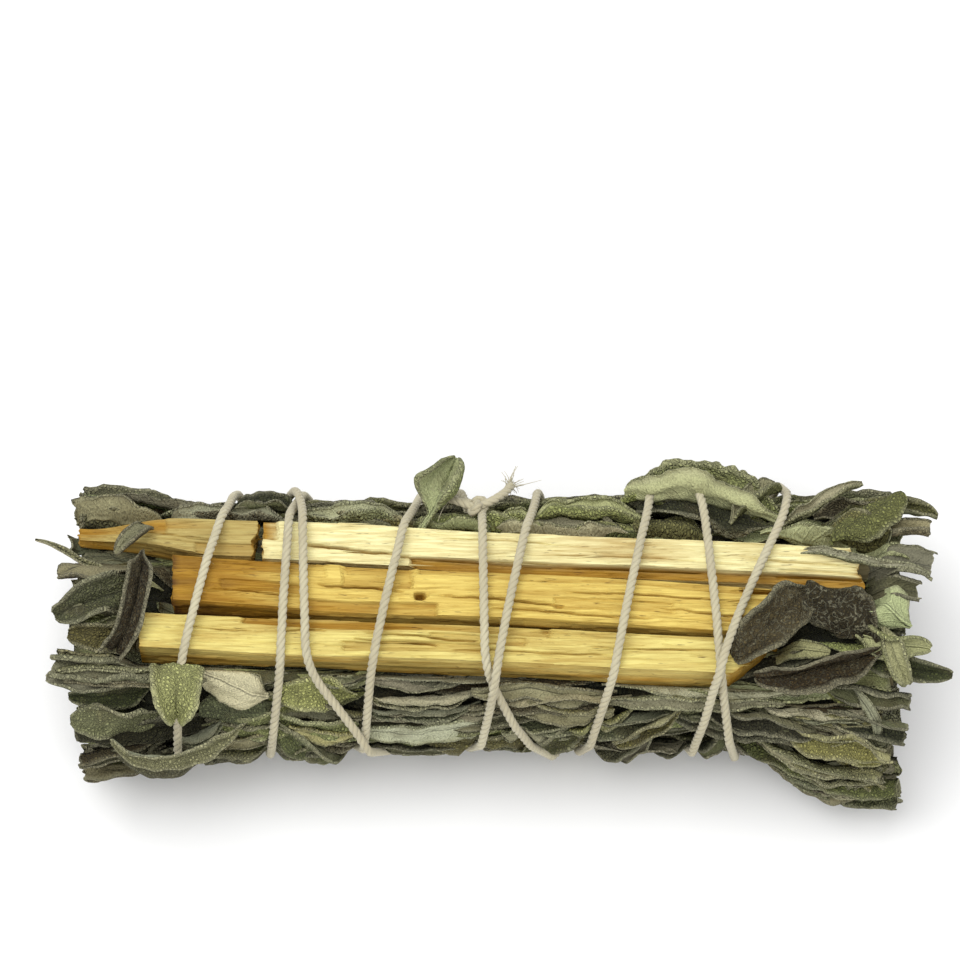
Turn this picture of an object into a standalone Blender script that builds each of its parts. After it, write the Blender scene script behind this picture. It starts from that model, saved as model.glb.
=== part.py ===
"""A bunch of dried sage that lies on its side, with split wood along its top and twine wound round it.

Metres, +Z up. X runs along the bunch, -Y is its front, and the bunch lies on Z = 0.
A place on the bunch is given by x along it, by its turn round it in degrees (0 is the top, 90 the
front, 180 the underside) and by its lift, the height above the bound surface.
"""

import math
import random
from dataclasses import dataclass

import bmesh
import bpy
import numpy as np
from mathutils import Matrix, Vector
from mathutils.bvhtree import BVHTree

MM = 0.001

# The bound bunch
TRIM = 66.5 * MM  # both ends are chopped off square, this far from the middle
AXIS_HEIGHT = 18.0 * MM
HALF_WIDTH = 19.4 * MM
TOP_HEIGHT = 17.0 * MM
FOOT_DEPTH = 14.0 * MM  # the twine pulls the underside in this far
LOOSE_FOOT_DEPTH = 18.2 * MM  # past the twine the leaves sag down to the table
LOOSE_SPREAD = 2.2 * MM
LOOSE_FROM, LOOSE_TO = 42 * MM, 57 * MM
SQUARENESS = 2.3
SPLAY_TURN, SPLAY_REACH = 122.0, 34.0  # the lower front corners open out over the table
SPLAY_RIGHT, SPLAY_LEFT = 7.0 * MM, 2.0 * MM
SPLAY_FROM, SPLAY_TO = 40 * MM, 62 * MM
MIDDLE = Vector((1.23, -1.53, 0)) * MM  # of the whole bunch's box, from the axis: the origin in the end
EYE_RISE = math.radians(68.0)  # leaves are placed as they look from this far above the table, in front

# The sprigs
GAP = 0.3 * MM
BLADE = 0.7 * MM
BLADE_ROOM = BLADE / 2 + 0.1 * MM  # from a leaf's middle surface to what presses on it
HEART_RADIUS = 8.0 * MM
SKIN = 2.3 * MM  # from the woody core of a sprig out to the bound surface
ROOT_DEPTH = 1.5 * MM  # how deep a leaf's root goes into the core
CORE_END = 61 * MM
CORE_SHOULDER = 57 * MM  # from here the core is drawn in to its end
END_SHARE = 0.5
WAIST_END = 40 * MM  # up to here the twine pulls the core in evenly
HEEL_FROM = 47 * MM  # from here to the core's shoulder the underside is pressed flat on the table
HEEL_HALF_TURN = 16.0
TOP_BACK, TOP_FRONT = "sage_sprig_top_back", "sage_sprig_top_front"
FOOT = "sage_sprig_foot"
HEART = "sage_sprig_heart"
SPRIG_TURNS = {
    TOP_BACK: (-54, 0),
    TOP_FRONT: (0, 54),
    "sage_sprig_front_high": (54, 84),
    "sage_sprig_front_low": (84, 116),
    "sage_sprig_foot_front": (116, 150),
    FOOT: (150, 210),
    "sage_sprig_foot_back": (210, 244),
    "sage_sprig_back_low": (244, 276),
    "sage_sprig_back_high": (276, 306),
}
HEART_TURNS = (-180, 180)
SEEN_TO = 116  # sprigs turned further than this are out of sight from in front and above
STEM_RADIUS = 1.4 * MM
STEM_LENGTH = 10 * MM  # of the end that shows, from the chopped end inwards
HEART_STEM_RADIUS = 2.5 * MM  # how far off the axis the heart's own stem is
LEAF_SEED = 11

# The split sticks: (x, y) of both ends of the middle line, width and height
STICK_BED = 28.9 * MM  # the leaves under the sticks are pressed flat at this height
STICK_STEP = 0.35 * MM  # how unevenly the wood split
PRESSED_ASIDE = 0.9 * MM  # this far beside a stick the leaves are still pressed flat
RISE_BESIDE = 1.3  # from there on they may stand up this much per millimetre
TAPERED_SHARE = 0.8  # of the length, where a tapered stick narrows

# The twine: x of each pass at the back shoulder, at the front edge of the sticks, and at the front foot
TWINE_RADIUS = 0.8 * MM
TWINE_CLEARANCE = 0.45 * MM
PASS_TURNS = (-42.0, 36.0, 80.0)
TWINE_PASSES = (
    (-1.3, -0.8, 6.0),
    (34.5, 36.7, 39.0),
    (48.8, 36.1, 33.3),
    (26.0, 19.8, 16.3),
    (7.0, 1.0, -1.3),
    (-12.7, -19.0, -20.3),
    (-32.2, -33.5, -35.3),
    (-42.6, -49.5, -50.5),
    (-30.4, -29.3, -19.2),
)
TWINE_END = -3.4
KNOT_LOOP = 1.3 * MM
KNOT_LIFT = 0.7 * MM
KNOT_TIP = 12.0  # how far the loop of the knot leans along the bunch
TAILS = (  # (x, turn, lift over the knot) of the points that each loose end of the twine runs through
    ((-2.4, -40.0, 0.0), (-4.4, -42.0, 0.5), (-6.6, -45.0, 0.7)),
    ((-2.4, -40.0, 0.0), (0.6, -44.0, 0.6), (2.6, -50.0, 1.0), (3.4, -56.0, 1.4)),
)
TURN_STEP = 2.5
FEELERS = (-0.9 * MM, -0.45 * MM, 0, 0.45 * MM, 0.9 * MM)  # across the twine, where it is held off
OUTSIDE = 60 * MM  # a radius well outside the bunch
LEAD = 75.0  # how far the route is followed past both of its ends, so that they are drawn taut too
CHORD_REACH = 30  # steps: how far a taut stretch may span each way
MOST_STEPS = 10  # in one straight stretch of the finished route
STRAY = 0.2 * MM


@dataclass
class Stick:
    """A piece of split wood from one end of its middle line to the other."""

    name: str
    left: tuple
    right: tuple
    width: float
    height: float
    slant: float = 0.0  # how far its front edge, or the back one where under 0, stops short at the right
    taper: float = 1.0  # how much of its width is left at the left end
    seed: int = 0

    def middle(self, share):
        return Vector(self.left).lerp(Vector(self.right), share) * MM


STICKS = (
    Stick("wood_stick_1", (-36.9, 8.2), (60.4, 3.5), 6.8, 8.0, slant=-2.0, seed=1),
    Stick("wood_stick_2", (-51.2, 1.3), (47.1, -4.2), 8.0, 9.2, slant=0.5, seed=2),
    Stick("wood_stick_3", (-56.4, -7.0), (45.2, -11.4), 6.0, 7.8, slant=6.5, seed=3),
    Stick("wood_stick_4", (-67.0, 10.8), (-37.4, 8.8), 6.2, 7.0, slant=1.0, taper=0.35, seed=4),
)


@dataclass
class Leaf:
    """One leaf from its root to its tip, each at (x in millimetres, turn). Its other sizes are in metres."""

    root: tuple
    tip: tuple
    width: float
    fold: float = 35.0  # how far its halves stand up from flat
    rise: float = -0.6 * MM
    tip_rise: float = 0.0
    twist: float = 0.0
    bow: float = 0.0
    cut: bool = False
    root_lift: float = -SKIN - ROOT_DEPTH
    phase: float = 0.0
    rows: int = 4


def mix(a, b, share):
    return a + (b - a) * share


def smooth(low, high, value):
    """0 below low, 1 above high, and an even ease between."""
    share = min(max((value - low) / (high - low), 0.0), 1.0)
    return share * share * (3 - 2 * share)


# The bound surface


def looseness(x):
    return smooth(LOOSE_FROM, LOOSE_TO, abs(x))


def surface_radius(x, turn):
    """From the axis of the bunch out to its bound surface."""
    sine, cosine = math.sin(math.radians(turn)), math.cos(math.radians(turn))
    side = HALF_WIDTH + LOOSE_SPREAD * looseness(x)
    upright = TOP_HEIGHT if cosine > 0 else mix(FOOT_DEPTH, LOOSE_FOOT_DEPTH, looseness(x))
    radius = (abs(sine / side) ** SQUARENESS + abs(cosine / upright) ** SQUARENESS) ** (-1 / SQUARENESS)
    away = abs((turn - SPLAY_TURN + 180) % 360 - 180) / SPLAY_REACH
    splay = (SPLAY_RIGHT if x > 0 else SPLAY_LEFT) * smooth(SPLAY_FROM, SPLAY_TO, abs(x))
    return radius + splay * max(0.0, 1 - away * away)


def polar_point(x, turn, radius):
    angle = math.radians(turn)
    return Vector((x, -radius * math.sin(angle), AXIS_HEIGHT + radius * math.cos(angle)))


def bunch_point(x, turn, lift=0.0):
    return polar_point(x, turn, surface_radius(x, turn) + lift)


def turn_at(x, seen):
    """The turn at which the bound surface looks this far up the picture, for an eye in front and above."""
    high, low = -66.0, 118.0
    for _ in range(24):
        middle = (high + low) / 2
        point = bunch_point(x, middle)
        height = point.y * math.sin(EYE_RISE) + (point.z - AXIS_HEIGHT) * math.cos(EYE_RISE)
        if height > seen:
            high = middle
        else:
            low = middle
    return (high + low) / 2


def stick_ceiling(x, y):
    """The greatest height of a leaf's middle surface: pressed flat under the sticks, free beside them."""
    ceiling = math.inf
    for stick in STICKS:
        start, end = stick.middle(0), stick.middle(1)
        run = end - start
        share = (Vector((x, y)) - start).dot(run) / run.length_squared
        beyond = max(-share, share - 1, 0.0) * run.length
        aside = abs((y - start.y) - run.y * (x - start.x) / run.x) - stick.width * MM / 2
        free = max(0.0, math.hypot(beyond, max(aside, 0.0)) - PRESSED_ASIDE)
        ceiling = min(ceiling, STICK_BED - BLADE_ROOM + RISE_BESIDE * free)
    return ceiling


def leaf_floor(x):
    """The least height of a leaf's middle surface: the waist under the twine, the table past it."""
    return mix(AXIS_HEIGHT - FOOT_DEPTH, BLADE_ROOM, looseness(x))


def pressed_radius(x, turn, radius, deeper=0.0):
    """The radius, made less where a stick or the table presses on the leaves, and deeper under a stick."""
    upward = math.cos(math.radians(turn))
    level = 0.05
    for _ in range(3):
        point = polar_point(x, turn, radius)
        if upward > level:
            radius = min(radius, (stick_ceiling(x, point.y) - deeper - AXIS_HEIGHT) / upward)
        if upward < -level:
            radius = min(radius, (AXIS_HEIGHT - leaf_floor(x)) / -upward)
    return radius


# The leaves

WAVE_HEIGHT = 0.09  # of a leaf's width, at its edge
WAVES_ALONG, WAVES_ACROSS = 9.0, 2.2


def outline(share, cut):
    """How much of its full width a leaf has at this share of its length."""
    taper = 1.0 if cut else 1 - smooth(0.5, 1.08, share)
    return 0.16 + 0.84 * smooth(-0.05, 0.42, share) * taper


def confined(point, turns, heart):
    """The point moved into its own sprig's part of the bunch, over the table and under the sticks."""
    room = BLADE_ROOM + GAP / 2
    radius = math.hypot(point.y, point.z - AXIS_HEIGHT)
    turn = math.degrees(math.atan2(-point.y, point.z - AXIS_HEIGHT))
    if heart:
        return polar_point(point.x, turn, min(radius, HEART_RADIUS - room))
    radius = max(radius, HEART_RADIUS + GAP + room)
    low, high = turns
    edge = math.degrees(math.asin(room / radius))
    middle = (low + high) / 2
    turn = middle + (turn - middle + 180) % 360 - 180
    turn = min(max(turn, low + edge), high - edge)
    radius = pressed_radius(point.x, turn, radius)
    return polar_point(point.x, turn, radius)


def leaf_surface(leaf, rows, columns):
    """The points of a leaf's middle surface, row by row from its root."""
    (root_x, root_turn), (tip_x, tip_turn) = leaf.root, leaf.tip
    fold, twist = math.radians(leaf.fold), math.radians(leaf.twist)
    points = []
    for row in range(rows + 1):
        share = row / rows
        x = mix(root_x, tip_x, share) * MM
        turn = mix(root_turn, tip_turn, share) + leaf.bow * math.sin(math.pi * share)
        radius = surface_radius(x, turn)
        run = Vector(((tip_x - root_x) * MM, math.radians(tip_turn - root_turn) * radius)).normalized()
        lift = mix(leaf.root_lift, leaf.rise, smooth(0, 0.25, share))
        lift += leaf.tip_rise * smooth(0.3, 1, share)
        half = leaf.width / 2 * outline(share, leaf.cut)
        for column in range(columns + 1):
            across = 2 * column / columns - 1
            wave = math.sin(WAVES_ALONG * share + WAVES_ACROSS * across + leaf.phase)
            wave *= WAVE_HEIGHT * leaf.width * abs(across)
            side = half * across * math.cos(fold)
            up = half * abs(across) * math.sin(fold) + wave
            side, up = (
                side * math.cos(twist) - up * math.sin(twist),
                side * math.sin(twist) + up * math.cos(twist),
            )
            aside = math.degrees(side * run.x / radius)
            points.append(bunch_point(x - side * run.y, turn + aside, lift + up))
    return points


def new_object(name, mesh, collection):
    made = bpy.data.objects.new(name, mesh)
    collection.objects.link(made)
    return made


def leaf_object(leaf, turns, collection):
    """A leaf as a thin blade, with both of its faces split into the same triangles."""
    work = bmesh.new()
    rows, columns = leaf.rows, 2
    bmesh.ops.create_grid(work, x_segments=columns, y_segments=rows, size=1)
    work.verts.ensure_lookup_table()
    order = sorted(work.verts, key=lambda vertex: (round(vertex.co.y, 4), vertex.co.x))
    for vertex, point in zip(order, leaf_surface(leaf, rows, columns)):
        vertex.co = confined(point, turns, turns == HEART_TURNS)
    bmesh.ops.triangulate(work, faces=work.faces)
    mesh = bpy.data.meshes.new("leaf")
    work.to_mesh(mesh)
    work.free()
    blade = new_object("leaf", mesh, collection)
    wall = blade.modifiers.new("Blade", "SOLIDIFY")
    wall.thickness = BLADE
    wall.offset = 0
    return blade


def seen_leaf(root, tip, width, **shape):
    """A leaf placed by (x, height up the picture) of its root and tip, in millimetres."""
    places = [(x, turn_at(x * MM, seen * MM)) for x, seen in (root, tip)]
    return Leaf(places[0], places[1], width * MM, **shape)


def seen_leaves():
    """The leaves that show from in front and above, from the left end to the right one."""
    left_end = [
        seen_leaf((-55, 8.5), (-69, 10.5), 6.5, fold=55, rise=0.6 * MM, phase=1),
        seen_leaf((-54, 4.5), (-69.5, 3.6), 7.5, fold=25, rise=0.6 * MM, tip_rise=0.8 * MM),
        seen_leaf((-57.5, 6.0), (-59.3, -3.0), 5.0, fold=30, rise=2.4 * MM, phase=2),
        seen_leaf((-55, -1.0), (-67.5, -0.8), 5.5, fold=40, rise=0.2 * MM, phase=3),
        seen_leaf((-42, -4.2), (-70.5, -6.4), 7.0, fold=60, rise=0.4 * MM, tip_rise=0.8 * MM, cut=True),
        seen_leaf((-52, -9.0), (-67.5, -10.4), 5.0, fold=35, phase=1),
        seen_leaf((-50, -13.5), (-66.6, -14.8), 6.5, fold=20, rise=0.4 * MM, phase=2.5, cut=True),
        seen_leaf((-53, -18.0), (-66.2, -20.0), 6.5, fold=50, cut=True, phase=2),
        seen_leaf((-41, -16.4), (-61, -19.6), 6.0, fold=40, rise=0.2 * MM, phase=1),
        seen_leaf((-44.5, -11.5), (-53.5, -7.6), 7.5, fold=30, rise=0.4 * MM, tip_rise=1.0 * MM),
        seen_leaf((-37, -7.0), (-46, -9.0), 6.0, fold=30, rise=0.2 * MM),
        seen_leaf((-34, -11.5), (-46.5, -13.6), 9.0, fold=-18, rise=0.6 * MM, phase=5),
        seen_leaf((-32, -16.0), (-47.5, -17.6), 5.0, fold=40),
    ]
    middle = [
        seen_leaf((-36, -15.0), (-21.5, -18.6), 7.0, fold=35, rise=0.2 * MM, phase=2),
        seen_leaf((-24, -18.6), (-37, -19.0), 5.0, fold=30, phase=3),
        seen_leaf((-23, -10.0), (-34, -11.6), 6.0, fold=25),
        seen_leaf((-22, -7.0), (1, -8.4), 4.6, fold=50),
        seen_leaf((3, -10.0), (-20, -11.0), 4.4, fold=55, rise=-0.2 * MM),
        seen_leaf((-21, -13.0), (0, -13.4), 4.4, fold=50),
        seen_leaf((-22, -16.2), (5, -15.6), 5.0, fold=25, rise=-0.2 * MM),
        seen_leaf((-3, -11.8), (19, -12.8), 5.6, fold=50),
        seen_leaf((16, -8.2), (50, -8.8), 4.8, fold=45, rise=-0.2 * MM, cut=True),
        seen_leaf((19, -14.6), (5, -18.6), 5.6, fold=30),
        seen_leaf((29, -12.6), (17, -17.6), 6.0, fold=45, phase=4),
        seen_leaf((36, -15.4), (24, -18.6), 5.6, fold=30),
        seen_leaf((28, -12.6), (53, -15.4), 6.4, fold=50, phase=1),
    ]
    right_end = [
        seen_leaf((40, -17.4), (64.5, -22.0), 5.0, fold=45, cut=True),
        seen_leaf((44, -19.4), (65, -25.6), 5.6, fold=50, phase=2),
        seen_leaf((46, -13.6), (63.5, -17.6), 6.0, fold=40, phase=3, cut=True),
        seen_leaf((50, -21.0), (58, -26.5), 4.0, fold=30, tip_rise=0.8 * MM),
        seen_leaf((52, -9.6), (67, -12.0), 6.4, fold=55, cut=True),
        seen_leaf((53.5, 1.5), (46.4, -3.6), 5.6, fold=35, rise=2.4 * MM, phase=1),
        seen_leaf((58, 0.5), (51.0, 4.2), 8.0, fold=-30, rise=3.6 * MM, phase=2),
        seen_leaf((58, -2.2), (45.5, -6.4), 6.0, fold=60, rise=1.6 * MM),
        seen_leaf((56, 3.0), (68.5, 4.4), 7.0, fold=-25, rise=1.4 * MM, phase=5),
        seen_leaf((57, -4.0), (73, -6.4), 5.0, fold=40, rise=0.4 * MM),
        seen_leaf((56, -1.6), (69, -2.6), 6.0, fold=50, rise=1.2 * MM, phase=4),
        seen_leaf((55, 13.4), (66, 15.6), 8.0, fold=-30, rise=2.4 * MM, tip_rise=4.5 * MM, phase=2),
        seen_leaf((44, 15.8), (60.5, 18.5), 4.0, fold=40, rise=2.0 * MM, tip_rise=3.0 * MM),
        seen_leaf((43, 15.6), (67, 11.6), 5.4, fold=45, rise=1.4 * MM),
        seen_leaf((55, 10.2), (70.5, 9.0), 5.6, fold=40, rise=0.6 * MM, cut=True),
        seen_leaf((55, 14.2), (71, 14.0), 5.4, fold=55, cut=True, phase=3),
        seen_leaf((55, 17.6), (72.5, 18.8), 5.2, fold=50, cut=True, phase=1),
    ]
    back_edge = [
        seen_leaf((46, 17.0), (23.5, 18.8), 8.0, fold=50, rise=0.8 * MM, tip_rise=1.2 * MM, phase=2),
        seen_leaf((39, 16.6), (48.5, 18.6), 7.0, fold=60, rise=0.8 * MM, tip_rise=1.0 * MM),
        seen_leaf((26, 17.4), (5.4, 18.2), 6.4, fold=60, rise=0.2 * MM, phase=1),
        seen_leaf((27, 14.8), (0, 15.6), 4.0, fold=40),
        seen_leaf((35, 15.4), (24, 15.8), 5.6, fold=30, phase=3),
        seen_leaf((-9.5, 16.4), (-6.6, 18.4), 5.6, fold=55, rise=2.0 * MM, tip_rise=6.0 * MM, phase=2),
        seen_leaf((-12, 17.2), (-31, 17.8), 6.0, fold=40, phase=4),
        seen_leaf((-32, 17.0), (-52, 17.4), 6.0, fold=45),
        seen_leaf((-52, 16.4), (-67, 17.0), 6.0, fold=50, cut=True, phase=3),
    ]
    return left_end + middle + right_end + back_edge


def shingled_leaves(turns, outward, draws, count=7):
    """Leaves laid along a sprig that is out of sight, each over the root of the next."""
    leaves = []
    low, high = turns
    for place in range(count):
        share = (place + 0.5) / count
        root_x = outward * (mix(-62, 50, share) + draws.uniform(-2, 2))
        root_turn = mix(low, high, 0.3 + 0.4 * (place % 2)) + draws.uniform(-2, 2)
        tip_turn = mix(low, high, 0.5) + draws.uniform(-5, 5)
        tip_x = root_x + outward * draws.uniform(18, 23)
        width = draws.uniform(7.0, 9.0) * MM
        fold = draws.uniform(20, 45)
        leaves.append(Leaf((root_x, root_turn), (tip_x, tip_turn), width, fold=fold, phase=6 * share))
    return leaves


def end_leaves(turns, draws, count):
    """Leaves that stick out of both chopped ends, turned every way, with square cut ends."""
    leaves = []
    low, high = turns
    heart = turns == HEART_TURNS
    for end in (-1, 1):
        for place in range(count):
            turn = mix(low, high, (place + 0.5) / count) + draws.uniform(-3, 3)
            depth = (18.0 if heart else draws.uniform(5.5, 10.0)) * MM
            leaves.append(
                Leaf(
                    (end * 54, turn),
                    (end * (TRIM / MM + draws.uniform(-1.6, 0.6)), turn + draws.uniform(-4, 4)),
                    draws.uniform(5.0, 7.5) * MM,
                    fold=draws.uniform(20, 60),
                    rise=-depth + 1 * MM,
                    root_lift=-depth,
                    twist=draws.choice((-1, 1)) * draws.uniform(50, 100),
                    cut=True,
                    phase=turn,
                    rows=2,
                )
            )
    return leaves


# The sprigs


def loft(rings, name):
    """A closed body through rings of points, with a flat cap on both ends."""
    work = bmesh.new()
    made = [[work.verts.new(point) for point in ring] for ring in rings]
    for ring, following in zip(made, made[1:]):
        for place in range(len(ring)):
            after = (place + 1) % len(ring)
            work.faces.new((ring[place], ring[after], following[after], following[place]))
    work.faces.new(made[0][::-1])
    work.faces.new(made[-1])
    bmesh.ops.recalc_face_normals(work, faces=work.faces)
    bmesh.ops.triangulate(work, faces=work.faces)
    mesh = bpy.data.meshes.new(name)
    work.to_mesh(mesh)
    work.free()
    return mesh


def wedge_ring(x, turns, heel):
    """The outline of a sprig's core at x: along its outer side, and back along its inner one."""
    low, high = turns
    ring = []
    for share in (0, 0.25, 0.5, 0.75, 1):
        turn = mix(low, high, share)
        radius = surface_radius(x, turn) - SKIN
        turn = min(max(turn, low + math.degrees(GAP / 2 / radius)), high - math.degrees(GAP / 2 / radius))
        if heel and abs(turn - 180) <= HEEL_HALF_TURN:
            radius = AXIS_HEIGHT / -math.cos(math.radians(turn))
        else:
            radius = pressed_radius(x, turn, radius, SKIN / 2)
        ring.append(polar_point(x, turn, radius))
    inner = HEART_RADIUS + 2 * GAP
    edge = math.degrees(GAP / 2 / inner)
    for turn in (high - edge, (low + high) / 2, low + edge):
        ring.append(polar_point(x, turn, inner))
    if abs(x) == CORE_END:
        middle = sum(ring, Vector()) / len(ring)
        ring = [middle.lerp(point, END_SHARE) for point in ring]
    return ring


def sprig_core(turns, heel):
    if turns == HEART_TURNS:
        rings = []
        for x in (-CORE_END, -CORE_SHOULDER, CORE_SHOULDER, CORE_END):
            radius = (HEART_RADIUS - GAP) * (END_SHARE if abs(x) == CORE_END else 1)
            rings.append([polar_point(x, 45 * step, radius) for step in range(8)])
        return loft(rings, "core")
    stations = [CORE_END, CORE_SHOULDER, HEEL_FROM, WAIST_END]
    stations = [-x for x in stations] + stations[::-1]
    on_heel = [heel and HEEL_FROM <= abs(x) <= CORE_SHOULDER for x in stations]
    return loft([wedge_ring(x, turns, down) for x, down in zip(stations, on_heel)], "core")


def stem_object(turns, end, draws, collection):
    """The sprig's own stem where it comes out of the chopped end."""
    heart = turns == HEART_TURNS
    turn = 0 if heart else mix(*turns, draws.uniform(0.4, 0.6))
    radius = HEART_STEM_RADIUS if heart else mix(HEART_RADIUS, surface_radius(0, turn), 0.45)
    centre = polar_point(end * (TRIM - STEM_LENGTH / 2), turn, radius)
    work = bmesh.new()
    bmesh.ops.create_cone(
        work, cap_ends=True, segments=7, radius1=STEM_RADIUS, radius2=STEM_RADIUS, depth=STEM_LENGTH
    )
    bmesh.ops.triangulate(work, faces=work.faces)
    for vertex in work.verts:
        vertex.co = centre + Vector((vertex.co.z * end, vertex.co.x * end, vertex.co.y))
    bmesh.ops.recalc_face_normals(work, faces=work.faces)
    mesh = bpy.data.meshes.new("stem")
    work.to_mesh(mesh)
    work.free()
    return new_object("stem", mesh, collection)


def without_scraps(mesh):
    """Keeps the largest connected body of a mesh."""
    work = bmesh.new()
    work.from_mesh(mesh)
    left = set(work.verts)
    bodies = []
    while left:
        seed = left.pop()
        body, edge = {seed}, [seed]
        while edge:
            vertex = edge.pop()
            for link in vertex.link_edges:
                other = link.other_vert(vertex)
                if other in left:
                    left.remove(other)
                    body.add(other)
                    edge.append(other)
        bodies.append(body)
    keep = max(bodies, key=len)
    bmesh.ops.delete(work, geom=[vertex for vertex in work.verts if vertex not in keep], context="VERTS")
    bmesh.ops.triangulate(work, faces=work.faces)
    work.to_mesh(mesh)
    work.free()


def combined(made, operation, cutters):
    """Joins all in the cutters' collection to an object, or cuts it away, and empties the collection.

    The blades run through each other and through themselves, which the exact solver leaves open.
    """
    change = made.modifiers.new("Combine", "BOOLEAN")
    change.operation = operation
    change.operand_type = "COLLECTION"
    change.collection = cutters
    change.solver = "MANIFOLD"
    bpy.context.view_layer.update()
    whole = bpy.data.meshes.new_from_object(made.evaluated_get(bpy.context.evaluated_depsgraph_get()))
    made.modifiers.clear()
    without_scraps(whole)
    whole.name = made.name
    made.data = whole
    for piece in list(cutters.objects):
        bpy.data.objects.remove(piece)


def stick_room(stick, collection):
    """The space that a stick takes, with a gap all round it, open to the sky."""
    rings = []
    for share in (0, 0.3, 0.6, 1):
        middle = stick.middle(share)
        middle.x += {0: -GAP, 1: GAP}.get(share, 0)
        half = stick.width * MM * mix(stick.taper, 1.0, smooth(0, TAPERED_SHARE, share)) / 2 + GAP
        low, high = STICK_BED, STICK_BED + TOP_HEIGHT
        corners = ((-half, low), (half, low), (half, high), (-half, high))
        rings.append([Vector((middle.x, middle.y + aside, z)) for aside, z in corners])
    return new_object("room", loft(rings, "room"), collection)


def grow_sprig(name, turns, leaves, draws, cutters, parts, stem_end):
    core = sprig_core(turns, heel=name == FOOT)
    for leaf in leaves:
        leaf_object(leaf, turns, cutters)
    stem_object(turns, stem_end, draws, cutters)
    sprig = new_object(name, core, parts)
    combined(sprig, "UNION", cutters)
    if name in (TOP_BACK, TOP_FRONT):
        for stick in STICKS:
            stick_room(stick, cutters)
        combined(sprig, "DIFFERENCE", cutters)
    return sprig


def grow_sprigs(cutters, parts):
    draws = random.Random(LEAF_SEED)
    seen = seen_leaves()
    sprigs = []
    for place, (name, (low, high)) in enumerate(SPRIG_TURNS.items()):
        leaves = [leaf for leaf in seen if low <= (leaf.root[1] + leaf.tip[1]) / 2 < high]
        stem_end = -1 if place % 2 else 1
        if high > SEEN_TO:
            leaves += shingled_leaves((low, high), -stem_end, draws)
        leaves += end_leaves((low, high), draws, 3)
        sprigs.append(grow_sprig(name, (low, high), leaves, draws, cutters, parts, stem_end))
    leaves = end_leaves(HEART_TURNS, draws, 4)
    sprigs.append(grow_sprig(HEART, HEART_TURNS, leaves, draws, cutters, parts, 1))
    return sprigs


# The sticks


def stick_section(stick, share, draws):
    """The four corners of a stick at this share of its length, as unevenly as wood splits."""
    middle = stick.middle(share)
    half = stick.width * MM * mix(stick.taper, 1.0, smooth(0, TAPERED_SHARE, share)) / 2
    low = STICK_BED + GAP
    thinned = mix(1.0, stick.taper, 0.6)  # at the left end of a tapered stick
    high = low + stick.height * MM * mix(thinned, 1.0, smooth(0, 0.5, share))
    corners = []
    for across, z in ((-1, low), (1, low), (1, high), (-1, high)):
        inward = draws.uniform(0, STICK_STEP)
        sunk = draws.uniform(0, STICK_STEP) if z == high else 0
        slip = max(-across * stick.slant, 0.0) * MM * smooth(0.9, 1.0, share)
        corners.append(Vector((middle.x - slip, middle.y + across * (half - inward), z - sunk)))
    return corners


def split_stick(stick, parts):
    draws = random.Random(stick.seed)
    shares = (0, 0.1, 0.3, 0.5, 0.7, 0.9, 1.0)
    mesh = loft([stick_section(stick, share, draws) for share in shares], stick.name)
    return new_object(stick.name, mesh, parts)


# The twine


def pass_stations():
    """(turn, x) of each place that the twine is drawn through, in its order."""
    stations = []
    for number, places in enumerate(TWINE_PASSES):
        stations += [(360.0 * number + turn, x * MM) for turn, x in zip(PASS_TURNS, places)]
    stations.append((360.0 * len(TWINE_PASSES) + PASS_TURNS[0], TWINE_END * MM))
    first, last = stations[0], stations[-1]
    return [(first[0] - LEAD, first[1]), *stations, (last[0] + LEAD, last[1])]


def resting_radius(tree, turn, x):
    """How far from the axis a twine's middle lies here when it touches what is under it."""
    inward = -(polar_point(0, turn, 1) - polar_point(0, turn, 0))
    most = HEART_RADIUS
    for aside in FEELERS:
        start = polar_point(x + aside, turn, OUTSIDE)
        hit = tree.ray_cast(start, inward)[0]
        if hit is not None:
            most = max(most, OUTSIDE - (hit - start).length)
    return most + TWINE_CLEARANCE + TWINE_RADIUS


def over_earlier_turns(radii, xs, per_turn):
    """Lifts the twine over each earlier turn of it that it crosses."""
    lifted = radii.copy()
    apart = 2 * TWINE_RADIUS + GAP
    for back in range(per_turn, len(radii), per_turn):
        away = np.abs(xs[back:] - xs[:-back])
        over = radii[:-back] + np.sqrt(np.maximum(apart**2 - away**2, 0))
        lifted[back:] = np.where(away < apart, np.maximum(lifted[back:], over), lifted[back:])
    return lifted


def drawn_taut(radii):
    """Replaces each dip that a taut twine would span by the straight stretch across it."""
    taut = radii.copy()
    step = math.radians(TURN_STEP)
    for before in range(1, CHORD_REACH):
        for after in range(1, CHORD_REACH):
            first, last = radii[: -before - after], radii[before + after :]
            across = (
                first * last * math.sin((before + after) * step)
                / (first * math.sin(before * step) + last * math.sin(after * step))
            )
            middle = slice(before, len(radii) - after)
            taut[middle] = np.maximum(taut[middle], across)
    return taut


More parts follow.
